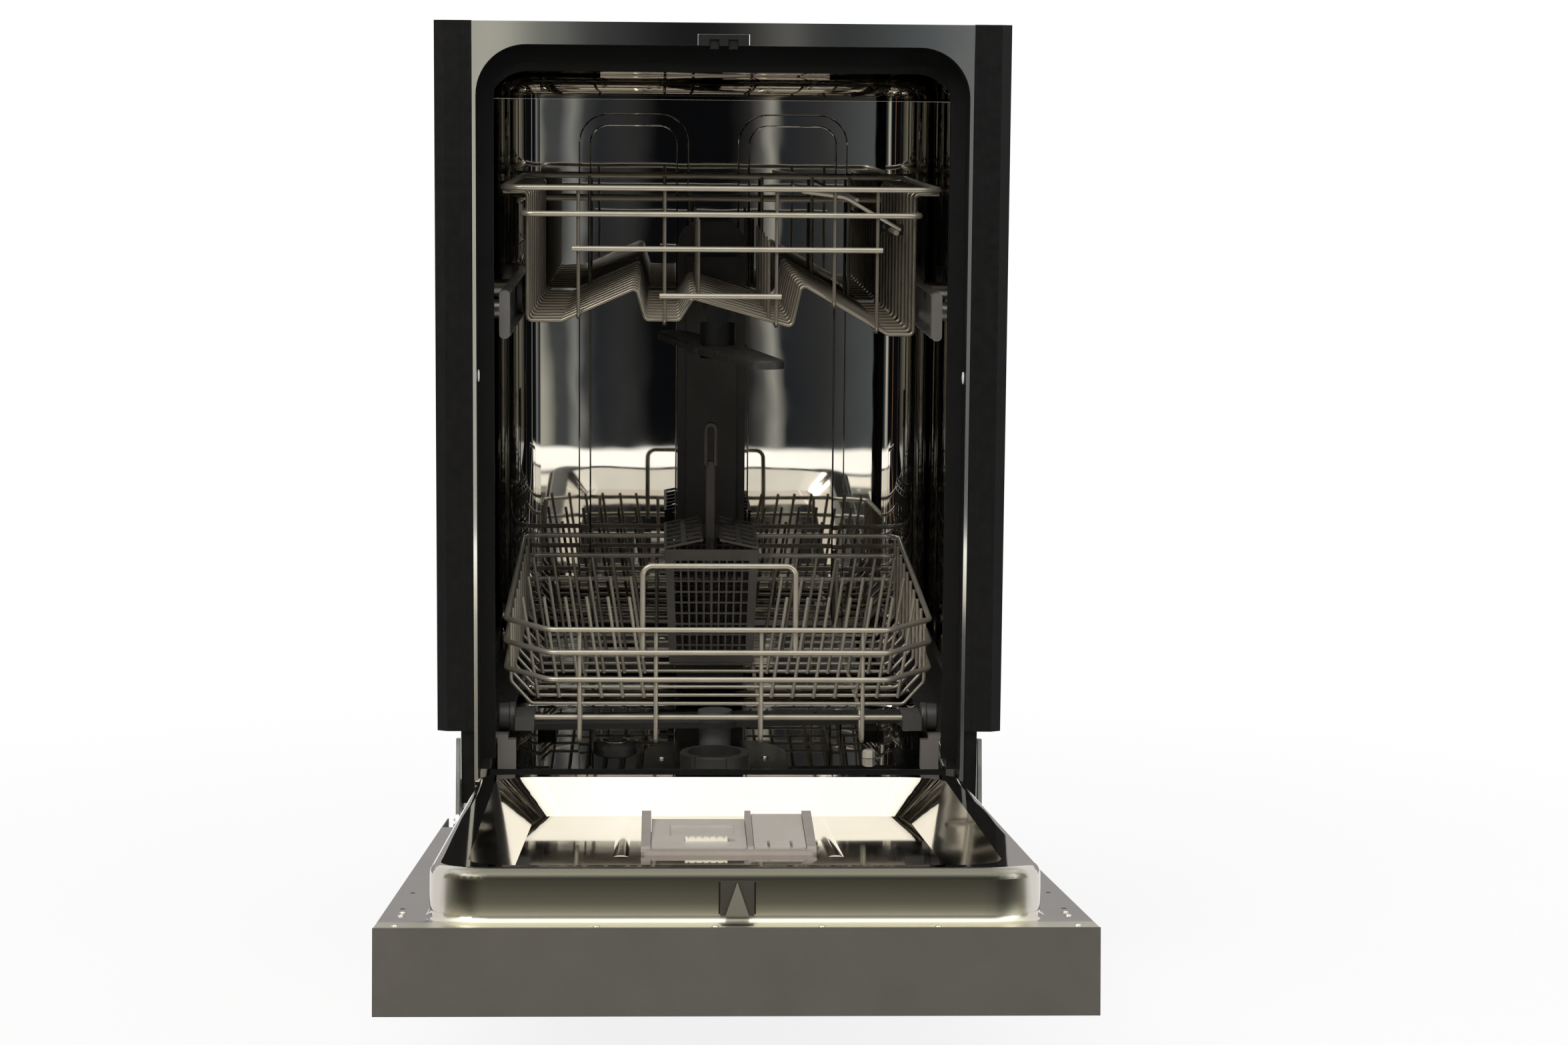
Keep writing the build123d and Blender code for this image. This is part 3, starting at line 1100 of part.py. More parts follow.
def cup_shelf():
    """A folding shelf of curved wires on a pivot bar along the right side of the rack."""
    bar = rod((0, SHELF_FRONT, 0), (0, SHELF_BACK, 0), RAIL_WIRE / 2)
    pitch = (SHELF_BACK - SHELF_FRONT - RAIL_WIRE) / (SHELF_WIRES - 1)
    lift = WIRE_STEP
    pieces = [bar]
    for number in range(SHELF_WIRES):
        y = SHELF_FRONT + RAIL_WIRE / 2 + number * pitch
        route = [(2, y, lift), (-SHELF_REACH * 0.6, y, lift), (-SHELF_REACH, y, lift - 14)]
        pieces.append(wire(route, THIN_WIRE, 20))
    tip = (-SHELF_REACH * 0.5, lift + THIN_WIRE + TOUCH)
    pieces.append(rod((tip[0], SHELF_FRONT, tip[1]), (tip[0], SHELF_BACK, tip[1]), THIN_WIRE / 2))
    pose = Pos(SHELF_PIVOT_X, 0, SHELF_PIVOT_Z) * Rot(0, SHELF_ANGLE, 0)
    return [pose * piece for piece in pieces]


def upper_rack_fittings():
    """Side plates with the roller axles, and the feed pipe with the spray arm's hub."""
    inner = UPPER_SIDE_HALF + THIN_WIRE / 2 + TOUCH
    axle_end = CHANNEL_OUTER - CHANNEL_SHEET - 1
    plate_y = (ROLLER_FRONT_Y - 25, ROLLER_BACK_Y + 14)
    plate = block((inner, inner + BRACKET_PLATE), plate_y, (ROLLER_Z - 16, UPPER_SECOND_Z - 8))
    for y in (ROLLER_FRONT_Y, ROLLER_BACK_Y):
        plate += rod_x((inner + 1, axle_end), y, ROLLER_Z, ROLLER_AXLE_RADIUS)
    hub_top = FEED_Z - FEED_RADIUS + 3
    cap_top = UPPER_ARM_Z - RUNNING_GAP
    shoulder = UPPER_ARM_Z + ARM_THICK + RUNNING_GAP
    pipe = rod((0, UPPER_ARM_Y - 14, FEED_Z), (0, COLUMN_FRONT - RUNNING_GAP, FEED_Z), FEED_RADIUS)
    pipe += rod((0, UPPER_ARM_Y, shoulder), (0, UPPER_ARM_Y, hub_top), HUB_RADIUS + 6)
    pipe += rod((0, UPPER_ARM_Y, cap_top - 1), (0, UPPER_ARM_Y, hub_top), HUB_RADIUS)
    pipe += rod((0, UPPER_ARM_Y, cap_top - HUB_CAP_HEIGHT), (0, UPPER_ARM_Y, cap_top), HUB_CAP_RADIUS)
    saddle_top = wave_height(SADDLE_HALF, THIN_WIRE / 2 + TOUCH)
    for number in range(SADDLES):
        y = UPPER_FIRST_WIRE + (FIRST_SADDLE + number * SADDLE_STEP) * UPPER_PITCH
        pipe += block((-SADDLE_HALF, SADDLE_HALF), (y - 4, y + 4), (FEED_Z, saddle_top))
    clips = []
    clip_end = UPPER_SIDE_HALF - THIN_WIRE / 2 - TOUCH
    reach = RAIL_WIRE / 2 + 2.5
    for number in range(SHELF_CLIPS):
        middle = UPPER_FIRST_WIRE + (SHELF_FIRST_CLIP + number * SHELF_CLIP_STEP) * UPPER_PITCH
        y = (middle - 4, middle + 4)
        clip = block((SHELF_PIVOT_X - reach, clip_end), y, (SHELF_PIVOT_Z - reach, SHELF_PIVOT_Z + reach))
        ends = [(SHELF_PIVOT_X, end, SHELF_PIVOT_Z) for end in (y[0] - 1, y[1] + 1)]
        clips.append(clip - rod(*ends, RAIL_WIRE / 2 + SHAFT_GAP))
    return mirrored(plate) + [pipe] + clips


def upper_rollers(y):
    axle_end = CHANNEL_OUTER - CHANNEL_SHEET - 1
    roller = rod_x((axle_end - ROLLER_WIDTH, axle_end), y, ROLLER_Z, ROLLER_RADIUS)
    roller = fillet(roller.edges().filter_by(GeomType.CIRCLE), 1.5)
    bore = (axle_end - ROLLER_WIDTH - 1, axle_end + 1)
    return mirrored(roller - rod_x(bore, y, ROLLER_Z, ROLLER_AXLE_RADIUS + SHAFT_GAP))


def upper_wall_rails():
    x, y = (CHANNEL_INNER, CHANNEL_OUTER), (CHANNEL_FRONT, CHANNEL_BACK)
    rail = block(x, y, (CHANNEL_BOTTOM, CHANNEL_TOP))
    hollow = (CHANNEL_BOTTOM + CHANNEL_SHEET, CHANNEL_TOP - CHANNEL_SHEET)
    rail -= block((CHANNEL_INNER - 1, CHANNEL_OUTER - CHANNEL_SHEET), y, hollow)
    for stud_y in CHANNEL_STUD_YS:
        rail += rod_x((CHANNEL_OUTER - 1, TUB_HALF - TOUCH), stud_y, ROLLER_Z, CHANNEL_STUD_RADIUS)
    return mirrored(rail)


def rail_end_caps():
    x = (CHANNEL_INNER, CHANNEL_OUTER)
    y = (CHANNEL_FRONT - TOUCH - END_CAP_DEPTH, CHANNEL_FRONT - TOUCH)
    z = (CHANNEL_BOTTOM - END_CAP_GROW, CHANNEL_TOP + END_CAP_GROW)
    cap = block(x, y, z)
    return mirrored(fillet(cap.edges().filter_by(Axis.Y), (x[1] - x[0]) * 0.45))


# Door, built closed and then swung open


def door_block(x, height, depth):
    """A block of the closed door, from heights above the pivot and depths from the inner plane."""
    y = (PIVOT_Y + depth[0], PIVOT_Y + depth[1])
    return block(x, y, (PIVOT_Z + height[0], PIVOT_Z + height[1]))


def door_plane(depth):
    """A plane across the closed door, X across and Y up from the pivot, facing into the machine."""
    return Plane((0, PIVOT_Y + depth, PIVOT_Z), x_dir=(-1, 0, 0), z_dir=(0, 1, 0))


def door_box(half, height, corners):
    """A rectangle on the door with its own radius at the two low and the two high corners."""
    face = Pos(0, sum(height) / 2) * Rectangle(2 * half, height[1] - height[0])
    groups = face.vertices().group_by(Axis.Y)
    face = fillet(groups[0], corners[0])
    return fillet(face.vertices().group_by(Axis.Y)[-1], corners[1])


def door_outer_panel():
    high = CONTROL_LOW - RUNNING_GAP
    front = (-DOOR_THICK, -DOOR_THICK + DOOR_SKIN)
    inside = -SHEET - TOUCH
    panel = door_block((-DOOR_HALF, DOOR_HALF), (DOOR_BOTTOM, high), front)
    for side in SIDES:
        wall = (side * (DOOR_HALF - DOOR_SKIN), side * DOOR_HALF)
        panel += door_block(wall, (DOOR_BOTTOM, high), (-DOOR_THICK, inside))
    hem = (DOOR_BOTTOM, DOOR_BOTTOM + DOOR_SKIN)
    panel += door_block((-DOOR_HEM_HALF, DOOR_HEM_HALF), hem, (-DOOR_THICK, inside))
    return [DOOR_POSE * panel]


def liner_form(inset):
    """The raised, dished form of the liner, drawn in by a thickness."""
    low, high = LINER_LOW + inset, LINER_HIGH - inset
    corners = (LINER_CORNER_LOW - inset, LINER_CORNER_HIGH - inset)
    face = door_box(LINER_HALF - inset, (low, high), corners)
    bottom = -SHEET if inset == 0 else -2 * SHEET
    form = extrude(door_plane(bottom) * face, amount=LINER_RISE_LOW + 20)
    ends = (LINER_LOW - 20, LINER_HIGH + 20)
    slope = [(PIVOT_Y + rim_depth(end) - inset, PIVOT_Z + end) for end in ends]
    far = PIVOT_Y + LINER_RISE_LOW + 30
    above = side_plate([*slope, (far, PIVOT_Z + ends[1]), (far, PIVOT_Z + ends[0])], (-DOOR_HALF, DOOR_HALF))
    form -= above
    rim = form.faces().sort_by(Axis.Y)[-1].edges()
    form = fillet(rim, LINER_ROUND - inset)
    floor = RECESS_DEPTH - inset
    top = LINER_RISE_LOW + 7
    rise = top - floor
    low, high = RECESS_LOW - inset, RECESS_HIGH + inset
    base = door_box(RECESS_HALF + inset, (low, high), (RECESS_CORNER, RECESS_CORNER))
    spread = RECESS_SIDE_SLOPE * rise
    mouth_height = (low - RECESS_LOW_SLOPE * rise, high + RECESS_HIGH_SLOPE * rise)
    wide = RECESS_CORNER + spread / 2
    mouth = door_box(RECESS_HALF + inset + spread, mouth_height, (wide, wide))
    return form - loft([door_plane(floor) * base, door_plane(top) * mouth], ruled=True)


def dispenser_hole():
    half = DISPENSER_WIDTH / 2 - DISPENSER_LIP
    height = (DISPENSER_LOW + DISPENSER_LIP, DISPENSER_HIGH - DISPENSER_LIP)
    return (DISPENSER_X - half, DISPENSER_X + half), height


def door_liner():
    edge = DOOR_HALF - LINER_EDGE
    high = DOOR_TOP - CONTROL_WALL - RUNNING_GAP
    flange = door_block((-edge, edge), (DOOR_BOTTOM + LINER_EDGE, high), (-SHEET, 0))
    liner = flange + liner_form(0)
    around = liner.edges().filter_by(lambda edge: abs(edge.center().Y - PIVOT_Y) < TOUCH)
    around = around.filter_by_position(Axis.X, -LINER_HALF - TOUCH, LINER_HALF + TOUCH)
    around = around.filter_by_position(Axis.Z, PIVOT_Z + LINER_LOW - TOUCH, PIVOT_Z + LINER_HIGH + TOUCH)
    liner = Part() + fillet(around, LINER_FOOT_ROUND) - liner_form(SHEET)
    sink = (BEAD_WIDTH ** 2 / 4 - BEAD_RISE ** 2) / (2 * BEAD_RISE)
    for side in SIDES:
        low, high = (PIVOT_Z + end for end in (RECESS_LOW + RECESS_CORNER, BEAD_HIGH))
        depth = PIVOT_Y + RECESS_DEPTH - sink
        bead = rod((side * BEAD_X, depth, low), (side * BEAD_X, depth, high), sink + BEAD_RISE)
        room = (RECESS_DEPTH - SHEET / 2, RECESS_DEPTH + BEAD_RISE + 1)
        liner += bead & door_block((-RECESS_HALF, RECESS_HALF), (RECESS_LOW, BEAD_HIGH), room)
    for side in SIDES:
        notch = (side * (HINGE_BRACKET_X - 2), side * (DOOR_HALF + 1))
        liner -= door_block(notch, (DOOR_BOTTOM - 1, HINGE_NOSE + 6), (-1, 1))
    hole_x, hole_height = dispenser_hole()
    liner -= door_block(hole_x, hole_height, (0, RECESS_DEPTH + 1))
    return [DOOR_POSE * liner]


def control_panel():
    half = DOOR_HALF - CONTROL_WALL
    panel = door_block((-DOOR_HALF, DOOR_HALF), (CONTROL_LOW, DOOR_TOP), (-DOOR_THICK, 0))
    panel -= door_block((-half, half), (CONTROL_LOW - 1, DOOR_TOP - CONTROL_WALL), (SKIN_INSIDE, 1))
    sides_inside = (-SHEET - TOUCH, 1)
    panel -= door_block((-DOOR_HALF, DOOR_HALF), (CONTROL_LOW - 1, DOOR_TOP - CONTROL_WALL), sides_inside)
    pocket = (DOOR_TOP - POCKET_BELOW_TOP, DOOR_TOP - POCKET_BELOW_TOP + POCKET_HEIGHT)
    depth = (-DOOR_THICK, -DOOR_THICK + POCKET_DEPTH)
    wall = CONTROL_WALL / 2
    grown = (pocket[0] - wall, pocket[1] + wall)
    panel += door_block((-POCKET_HALF - wall, POCKET_HALF + wall), grown, (depth[0] + wall, depth[1] + wall))
    panel -= door_block((-POCKET_HALF, POCKET_HALF), pocket, (depth[0] - 1, depth[1]))
    height = PIVOT_Z + DOOR_TOP - BUTTON_BELOW_TOP
    skin = (PIVOT_Y - DOOR_THICK - 1, PIVOT_Y + SKIN_INSIDE + 1)
    for x in BUTTON_XS:
        panel -= rod((x, skin[0], height), (x, skin[1], height), BUTTON_RADIUS + RUNNING_GAP)
    window_half = WINDOW_HALF + TOUCH
    window = BUTTON_BELOW_TOP + WINDOW_HEIGHT / 2 + TOUCH, BUTTON_BELOW_TOP - WINDOW_HEIGHT / 2 - TOUCH
    seen = (DOOR_TOP - window[0], DOOR_TOP - window[1])
    panel -= door_block((-window_half, window_half), seen, (-DOOR_THICK - 1, SKIN_INSIDE + 1))
    board_x = BOARD_HALF - 2 * BOARD_POST_RADIUS
    for side in SIDES:
        for end in (-1, 1):
            z = height + end * (BOARD_HEIGHT / 2 - BOARD_POST_RADIUS)
            start = (side * board_x, PIVOT_Y + SKIN_INSIDE - 1, z)
            end_point = (side * board_x, PIVOT_Y + SKIN_INSIDE + BOARD_POST_LENGTH, z)
            panel += rod(start, end_point, BOARD_POST_RADIUS)
    return [DOOR_POSE * panel]


def display_window():
    seen = (DOOR_TOP - BUTTON_BELOW_TOP - WINDOW_HEIGHT / 2, DOOR_TOP - BUTTON_BELOW_TOP + WINDOW_HEIGHT / 2)
    front = (-DOOR_THICK, -DOOR_THICK + WINDOW_THICK)
    window = door_block((-WINDOW_HALF, WINDOW_HALF), seen, front)
    behind = (SKIN_INSIDE + TOUCH, SKIN_INSIDE + TOUCH + 1.2)
    window += door_block((-WINDOW_HALF, WINDOW_HALF), seen, (front[0], behind[1]))
    lip = (seen[0] - 3, seen[1] + 3)
    return [DOOR_POSE * (window + door_block((-WINDOW_HALF - 3, WINDOW_HALF + 3), lip, behind))]


def control_board():
    middle = DOOR_TOP - BUTTON_BELOW_TOP
    height = (middle - BOARD_HEIGHT / 2, middle + BOARD_HEIGHT / 2)
    front = SKIN_INSIDE + BOARD_POST_LENGTH + TOUCH
    board = door_block((-BOARD_HALF, BOARD_HALF), height, (front, front + BOARD_THICK))
    for x in BUTTON_XS:
        board += door_block((x - 4, x + 4), (middle - 4, middle + 4), (front - 3, front + 1))
    return [DOOR_POSE * (board + door_block((-60, -20), (middle - 9, middle + 9), (front, front + 9)))]


def button(x):
    """A round cap through the panel, kept in by a flange behind it."""
    z = PIVOT_Z + DOOR_TOP - BUTTON_BELOW_TOP
    front = PIVOT_Y - DOOR_THICK - BUTTON_PROUD
    back = PIVOT_Y + SKIN_INSIDE + RUNNING_GAP
    cap = rod((x, front, z), (x, back + 1.2, z), BUTTON_RADIUS)
    cap = fillet(cap.edges().sort_by(Axis.Y)[0], 0.8)
    cap += rod((x, back, z), (x, back + 1.2, z), BUTTON_RADIUS + BUTTON_FLANGE)
    switch = PIVOT_Y + SKIN_INSIDE + BOARD_POST_LENGTH + TOUCH - 3
    cap += rod((x, back, z), (x, switch - BUTTON_TRAVEL - RUNNING_GAP, z), 3)
    return [DOOR_POSE * cap]


def dispenser_body():
    half = DISPENSER_WIDTH / 2
    x = (DISPENSER_X - half, DISPENSER_X + half)
    seat = RECESS_DEPTH + TOUCH
    plate = door_block(x, (DISPENSER_LOW, DISPENSER_HIGH), (seat, RECESS_DEPTH + DISPENSER_FLANGE))
    plate = fillet(plate.edges().filter_by(Axis.Y), DISPENSER_CORNER)
    hole_x, hole_height = dispenser_hole()
    inner_x = (hole_x[0] + RUNNING_GAP, hole_x[1] - RUNNING_GAP)
    inner_height = (hole_height[0] + RUNNING_GAP, hole_height[1] - RUNNING_GAP)
    body = plate + door_block(inner_x, inner_height, (RECESS_DEPTH - DISPENSER_DEPTH, LID_BASE))
    for cell_x in lid_spans():
        cell = (cell_x[0] + LID_MARGIN, cell_x[1] - LID_MARGIN)
        room = (LID_LOW + LID_MARGIN, LID_HIGH - LID_MARGIN)
        bottom = RECESS_DEPTH - DISPENSER_DEPTH + DISPENSER_WALL
        body -= door_block(cell, room, (bottom, LID_BASE + 1))
    wide, narrow = lid_spans()
    walls = [
        (x[0] + TOUCH, wide[0] - LID_SIDE_GAP),
        (wide[1] + LID_SIDE_GAP, narrow[0] - LID_SIDE_GAP),
        (narrow[1] + LID_SIDE_GAP, x[1] - TOUCH),
    ]
    low, high = DISPENSER_LOW + DISPENSER_LIP / 2, DISPENSER_HIGH - DISPENSER_LIP / 2
    outline = [
        (PIVOT_Y + LID_BASE - 1, PIVOT_Z + low),
        (PIVOT_Y + LID_BASE + DISPENSER_TOP_LOW - DISPENSER_LIP, PIVOT_Z + low),
        (PIVOT_Y + LID_BASE + DISPENSER_TOP_LOW, PIVOT_Z + LID_LOW),
        (PIVOT_Y + LID_BASE + DISPENSER_TOP_HIGH, PIVOT_Z + LID_HIGH),
        (PIVOT_Y + LID_BASE, PIVOT_Z + high),
        (PIVOT_Y + LID_BASE - 1, PIVOT_Z + high),
    ]
    for wall in walls:
        body += side_plate(outline, wall)
    front = (LID_HIGH + RUNNING_GAP, high)
    body += door_block((walls[0][0], walls[-1][1]), front, (LID_BASE - 1, LID_BASE + DISPENSER_LIP_RISE))
    z = PIVOT_Z + LID_LOW
    y = PIVOT_Y + LID_BASE + LID_PIN_RADIUS + RUNNING_GAP
    for left, right in (wide, narrow):
        pin = (left - LID_PIN_LENGTH - RUNNING_GAP, right + LID_PIN_LENGTH + RUNNING_GAP)
        body -= rod_x(pin, y, z, LID_PIN_RADIUS + SHAFT_GAP)
    return [DOOR_POSE * body]


def lid_spans():
    left = DISPENSER_X - DISPENSER_WIDTH / 2 + LID_MARGIN
    right = DISPENSER_X + DISPENSER_WIDTH / 2 - LID_MARGIN
    return (left, LID_SPLIT_X - LID_SPLIT_HALF), (LID_SPLIT_X + LID_SPLIT_HALF, right)


def lid_form(number):
    """A wedge-shaped lid with pins at its low end, standing just off the dispenser's face."""
    low, high = lid_spans()[number]
    under = PIVOT_Y + LID_BASE + RUNNING_GAP
    pin_y = PIVOT_Y + LID_BASE + LID_PIN_RADIUS + RUNNING_GAP
    outline = [
        (under, PIVOT_Z + LID_LOW),
        (under, PIVOT_Z + LID_HIGH),
        (under + LID_RISE_HIGH, PIVOT_Z + LID_HIGH),
        (under + LID_RISES[number], PIVOT_Z + LID_LOW + LID_BACK_LEAN),
        (under + 2 * LID_PIN_RADIUS, PIVOT_Z + LID_LOW),
    ]
    lid = side_plate(outline, (low, high))
    lid += rod_x((low, high), pin_y, PIVOT_Z + LID_LOW, LID_PIN_RADIUS)
    pins = (low - LID_PIN_LENGTH, high + LID_PIN_LENGTH)
    return lid + rod_x(pins, pin_y, PIVOT_Z + LID_LOW, LID_PIN_RADIUS)


def lid_top(height):
    """How far the wide lid's sloped face stands from the inner plane at a height above the pivot."""
    start = LID_LOW + LID_BACK_LEAN
    share = (height - start) / (LID_HIGH - start)
    return LID_BASE + RUNNING_GAP + LID_RISES[0] + (LID_RISE_HIGH - LID_RISES[0]) * share


def catch_room():
    """The middle of the catch across the wide lid, and its two ends along it."""
    span = lid_spans()[0]
    high = LID_HIGH - CATCH_FROM_EDGE
    return (span[0] + span[1]) / 2 + CATCH_SHIFT, (high - CATCH_LENGTH, high)


def detergent_lid():
    lid = lid_form(0)
    middle, height = catch_room()
    half = CATCH_WIDTH / 2 + RUNNING_GAP
    room = (height[0] - RUNNING_GAP, height[1] + RUNNING_GAP)
    above = LID_BASE + DISPENSER_TOP_LOW
    slot = (middle - half, middle + half + CATCH_TRAVEL)
    lid -= door_block(slot, room, (lid_top(height[1]) - CATCH_RISE, above))
    panel_high = height[0] - CATCH_LENGTH
    panel = (panel_high - LID_PANEL_LENGTH, panel_high)
    facing = [(lid_top(end) - LID_PANEL_DEPTH, end) for end in panel]
    corners = [*facing, (above, panel[1]), (above, panel[0])]
    sunk = [(PIVOT_Y + depth, PIVOT_Z + end) for depth, end in corners]
    lid -= side_plate(sunk, (middle - half - 2 * CATCH_SHIFT, middle + half + CATCH_SHIFT))
    return [DOOR_POSE * lid]


def lid_catch():
    middle, height = catch_room()
    seat = lid_top(height[1]) - CATCH_RISE + TOUCH
    top = lid_top(height[0]) + CATCH_RISE
    across = (middle - CATCH_WIDTH / 2, middle + CATCH_WIDTH / 2)
    catch = door_block(across, height, (seat, top))
    pitch = CATCH_WIDTH / CATCH_RIBS
    for number in range(CATCH_RIBS):
        left = across[0] + (number + 0.35) * pitch
        catch -= door_block((left, left + 0.3 * pitch), height, (top - CATCH_RISE / 2, top + 1))
    return [DOOR_POSE * catch]


def rinse_aid_lid():
    lid = lid_form(1)
    span = lid_spans()[1]
    middle = (span[0] + span[1]) / 2
    height = (LID_HIGH - CATCH_FROM_EDGE, LID_HIGH + 1)
    above = LID_BASE + DISPENSER_TOP_LOW
    for side in SIDES:
        x = middle + side * LID_GROOVE_X
        groove = (x - LID_GROOVE_WIDTH / 2, x + LID_GROOVE_WIDTH / 2)
        lid -= door_block(groove, height, (LID_BASE + RUNNING_GAP + LID_RISE_HIGH / 2, above))
    return [DOOR_POSE * lid]


def striker():
    """The arrow-shaped catch piece on the liner's upper face, on its base plate."""
    half = STRIKER_WIDTH / 2
    low = LINER_HIGH + TOUCH
    depth = (LINER_FOOT_ROUND + TOUCH, rim_depth(LINER_HIGH) - LINER_ROUND)
    plate = door_block((-half, half), (low, low + STRIKER_PLATE), depth)
    facing = Plane((0, PIVOT_Y, PIVOT_Z + low), x_dir=(1, 0, 0), z_dir=(0, 0, 1))
    tail = half * 0.7
    arrow = make_face(Polyline((-tail, depth[0]), (tail, depth[0]), (0, depth[1] - 1), close=True))
    return [DOOR_POSE * (plate + extrude(facing * arrow, amount=STRIKER_THICK))]


def hinge_arms():
    """Plates fixed inside the door's sides, with the tail that the springs pull on."""
    x = (HINGE_ARM_X, HINGE_ARM_X + HINGE_PLATE)
    half = HINGE_ARM_WIDTH / 2
    back = PIVOT_Y - SHEET - RUNNING_GAP
    shank = [
        (back, PIVOT_Z - half),
        (back, PIVOT_Z + HINGE_ARM_LENGTH),
        (back - HINGE_ARM_WIDTH, PIVOT_Z + HINGE_ARM_LENGTH),
        (back - HINGE_ARM_WIDTH, PIVOT_Z + half),
    ]
    tail = [
        (back - HINGE_ARM_WIDTH, PIVOT_Z + half),
        (back, PIVOT_Z - half),
        (PIVOT_Y + HINGE_TAIL, PIVOT_Z - half / 2),
        (PIVOT_Y + HINGE_TAIL, PIVOT_Z + half / 2),
    ]
    arm = side_plate(shank, x) + side_plate(tail, x)
    arm += rod_x(x, PIVOT_Y, PIVOT_Z, half + 2)
    arm -= rod_x((x[0] - 1, x[1] + 1), PIVOT_Y, PIVOT_Z, HINGE_PIN_RADIUS + SHAFT_GAP)
    wall = DOOR_HALF - DOOR_SKIN - TOUCH
    for height in (HINGE_ARM_LENGTH * 0.55, HINGE_ARM_LENGTH * 0.9):
        arm += rod_x((HINGE_ARM_X, wall), back - half, PIVOT_Z + height, 6)
    return [DOOR_POSE * piece for piece in mirrored(arm)]


NODES = {
    "tub_wrapper": tub_wrapper(),
    "tub_top_pan": tub_top_pan(),
    "tub_bottom_pan": tub_bottom_pan(),
    "tub_front_frame": tub_front_frame(),
    "door_gasket": door_gasket(),
    "side_strips": side_strips(),
    "door_latch": door_latch(),
    "counter_brackets": counter_brackets(),
    "base_tray": base_tray(),
    "kick_plate": kick_plate(),
    "hinge_brackets": hinge_brackets(),
    "door_springs": door_springs(),
    "sump": sump(),
    "filter_plate": filter_plate(),
    "filter_cup": filter_cup(),
    "lower_spray_arm": lower_spray_arm(),
    "circulation_pump": circulation_pump(),
    "drain_pump": drain_pump(),
    "softener_tank": softener_tank(),
    "salt_cap": salt_cap(),
    "float_cap": float_cap(),
    "inlet_valve": inlet_valve(),
    "air_breaker": air_breaker(),
    "water_column": water_column(),
    "lower_tracks": lower_tracks(),
    "upper_wall_rails": upper_wall_rails(),
    "rail_end_caps": rail_end_caps(),
    "lower_rack_rails": lower_rack_rails(),
    "lower_rack_wires": lower_rack_wires() + lower_rack_tines(),
    "lower_wheel_brackets": lower_wheel_brackets(),
    "lower_front_wheels": lower_wheels(WHEEL_FRONT_Y),
    "lower_back_wheels": lower_wheels(WHEEL_BACK_Y),
    "cutlery_basket": cutlery_basket(),
    "basket_lid_left": basket_lid(-1),
    "basket_lid_right": basket_lid(1),
    "upper_rack_rails": upper_rack_rails(),
    "upper_rack_wires": upper_rack_wires(),
    "upper_rack_fittings": upper_rack_fittings(),
    "upper_front_rollers": upper_rollers(ROLLER_FRONT_Y),
    "upper_back_rollers": upper_rollers(ROLLER_BACK_Y),
    "upper_spray_arm": upper_spray_arm(),
    "cup_shelf": cup_shelf(),
    "door_outer_panel": door_outer_panel(),
    "door_liner": door_liner(),
    "control_panel": control_panel(),
    "display_window": display_window(),
    "control_board": control_board(),
    "dispenser_body": dispenser_body(),
    "detergent_lid": detergent_lid(),
    "rinse_aid_lid": rinse_aid_lid(),
    "lid_catch": lid_catch(),
    "striker": striker(),
    "hinge_arms": hinge_arms(),
}
for name, x in zip(BUTTON_NAMES, BUTTON_XS):
    NODES[name] = button(x)
FOOT_NAMES = ("foot_front_left", "foot_front_right", "foot_back_left", "foot_back_right")
for name, place in zip(FOOT_NAMES, foot_places()):
    NODES[name] = foot(*place)

os.makedirs("parts", exist_ok=True)
for name, pieces in NODES.items():
    solids = [solid for piece in pieces for solid in piece.solids()]
    export_step(Compound(children=solids), f"parts/{name}.step")
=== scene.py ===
"""Looks of the built-in dishwasher.

Materials, small fittings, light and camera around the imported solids.
"""

import math

import bmesh
import bpy
from mathutils import Matrix, Vector


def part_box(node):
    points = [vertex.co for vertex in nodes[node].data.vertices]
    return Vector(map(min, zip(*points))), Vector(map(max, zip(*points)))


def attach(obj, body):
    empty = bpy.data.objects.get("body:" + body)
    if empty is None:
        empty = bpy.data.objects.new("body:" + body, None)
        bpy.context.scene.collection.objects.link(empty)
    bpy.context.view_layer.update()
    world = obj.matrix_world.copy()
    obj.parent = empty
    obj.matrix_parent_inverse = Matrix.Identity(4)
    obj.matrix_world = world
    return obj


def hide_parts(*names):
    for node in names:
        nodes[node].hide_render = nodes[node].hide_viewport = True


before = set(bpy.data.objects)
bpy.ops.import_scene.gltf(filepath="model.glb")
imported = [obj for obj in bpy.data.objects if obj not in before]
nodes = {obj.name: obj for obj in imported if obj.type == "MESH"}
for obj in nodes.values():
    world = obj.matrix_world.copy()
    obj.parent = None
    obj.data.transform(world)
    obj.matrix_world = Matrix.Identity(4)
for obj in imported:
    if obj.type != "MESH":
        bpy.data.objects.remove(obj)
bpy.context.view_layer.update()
scene = bpy.context.scene

MM = 0.001
SIDES = (-1, 1)
QUADRANTS = ((-1, -1), (1, -1), (1, 1), (-1, 1))
X_AXIS, Y_AXIS, Z_AXIS = Vector((1, 0, 0)), Vector((0, 1, 0)), Vector((0, 0, 1))

# Camera of the photograph
CAMERA_PLACE = Vector((-0.04805, -2.57509, 0.75457))
CAMERA_YAW = math.radians(2.193)
CAMERA_PITCH = math.radians(7.445)
CAMERA_ROLL = math.radians(0.488)
CAMERA_LENS = 74.25
SENSOR_WIDTH = 36
CLIP_END = 100

# The door's place, as in the solids
PIVOT = Vector((0, -2.0, 170.2)) * MM
DOOR_ANGLE = math.radians(82.87)
DOOR_TURN = Matrix.Rotation(DOOR_ANGLE, 4, "X")
DOOR_NORMAL = DOOR_TURN @ Y_AXIS
LINER_END = 620.0


# Materials


# The part of its range that a noise texture mostly fills
NOISE_LOW, NOISE_HIGH = 0.3, 0.7


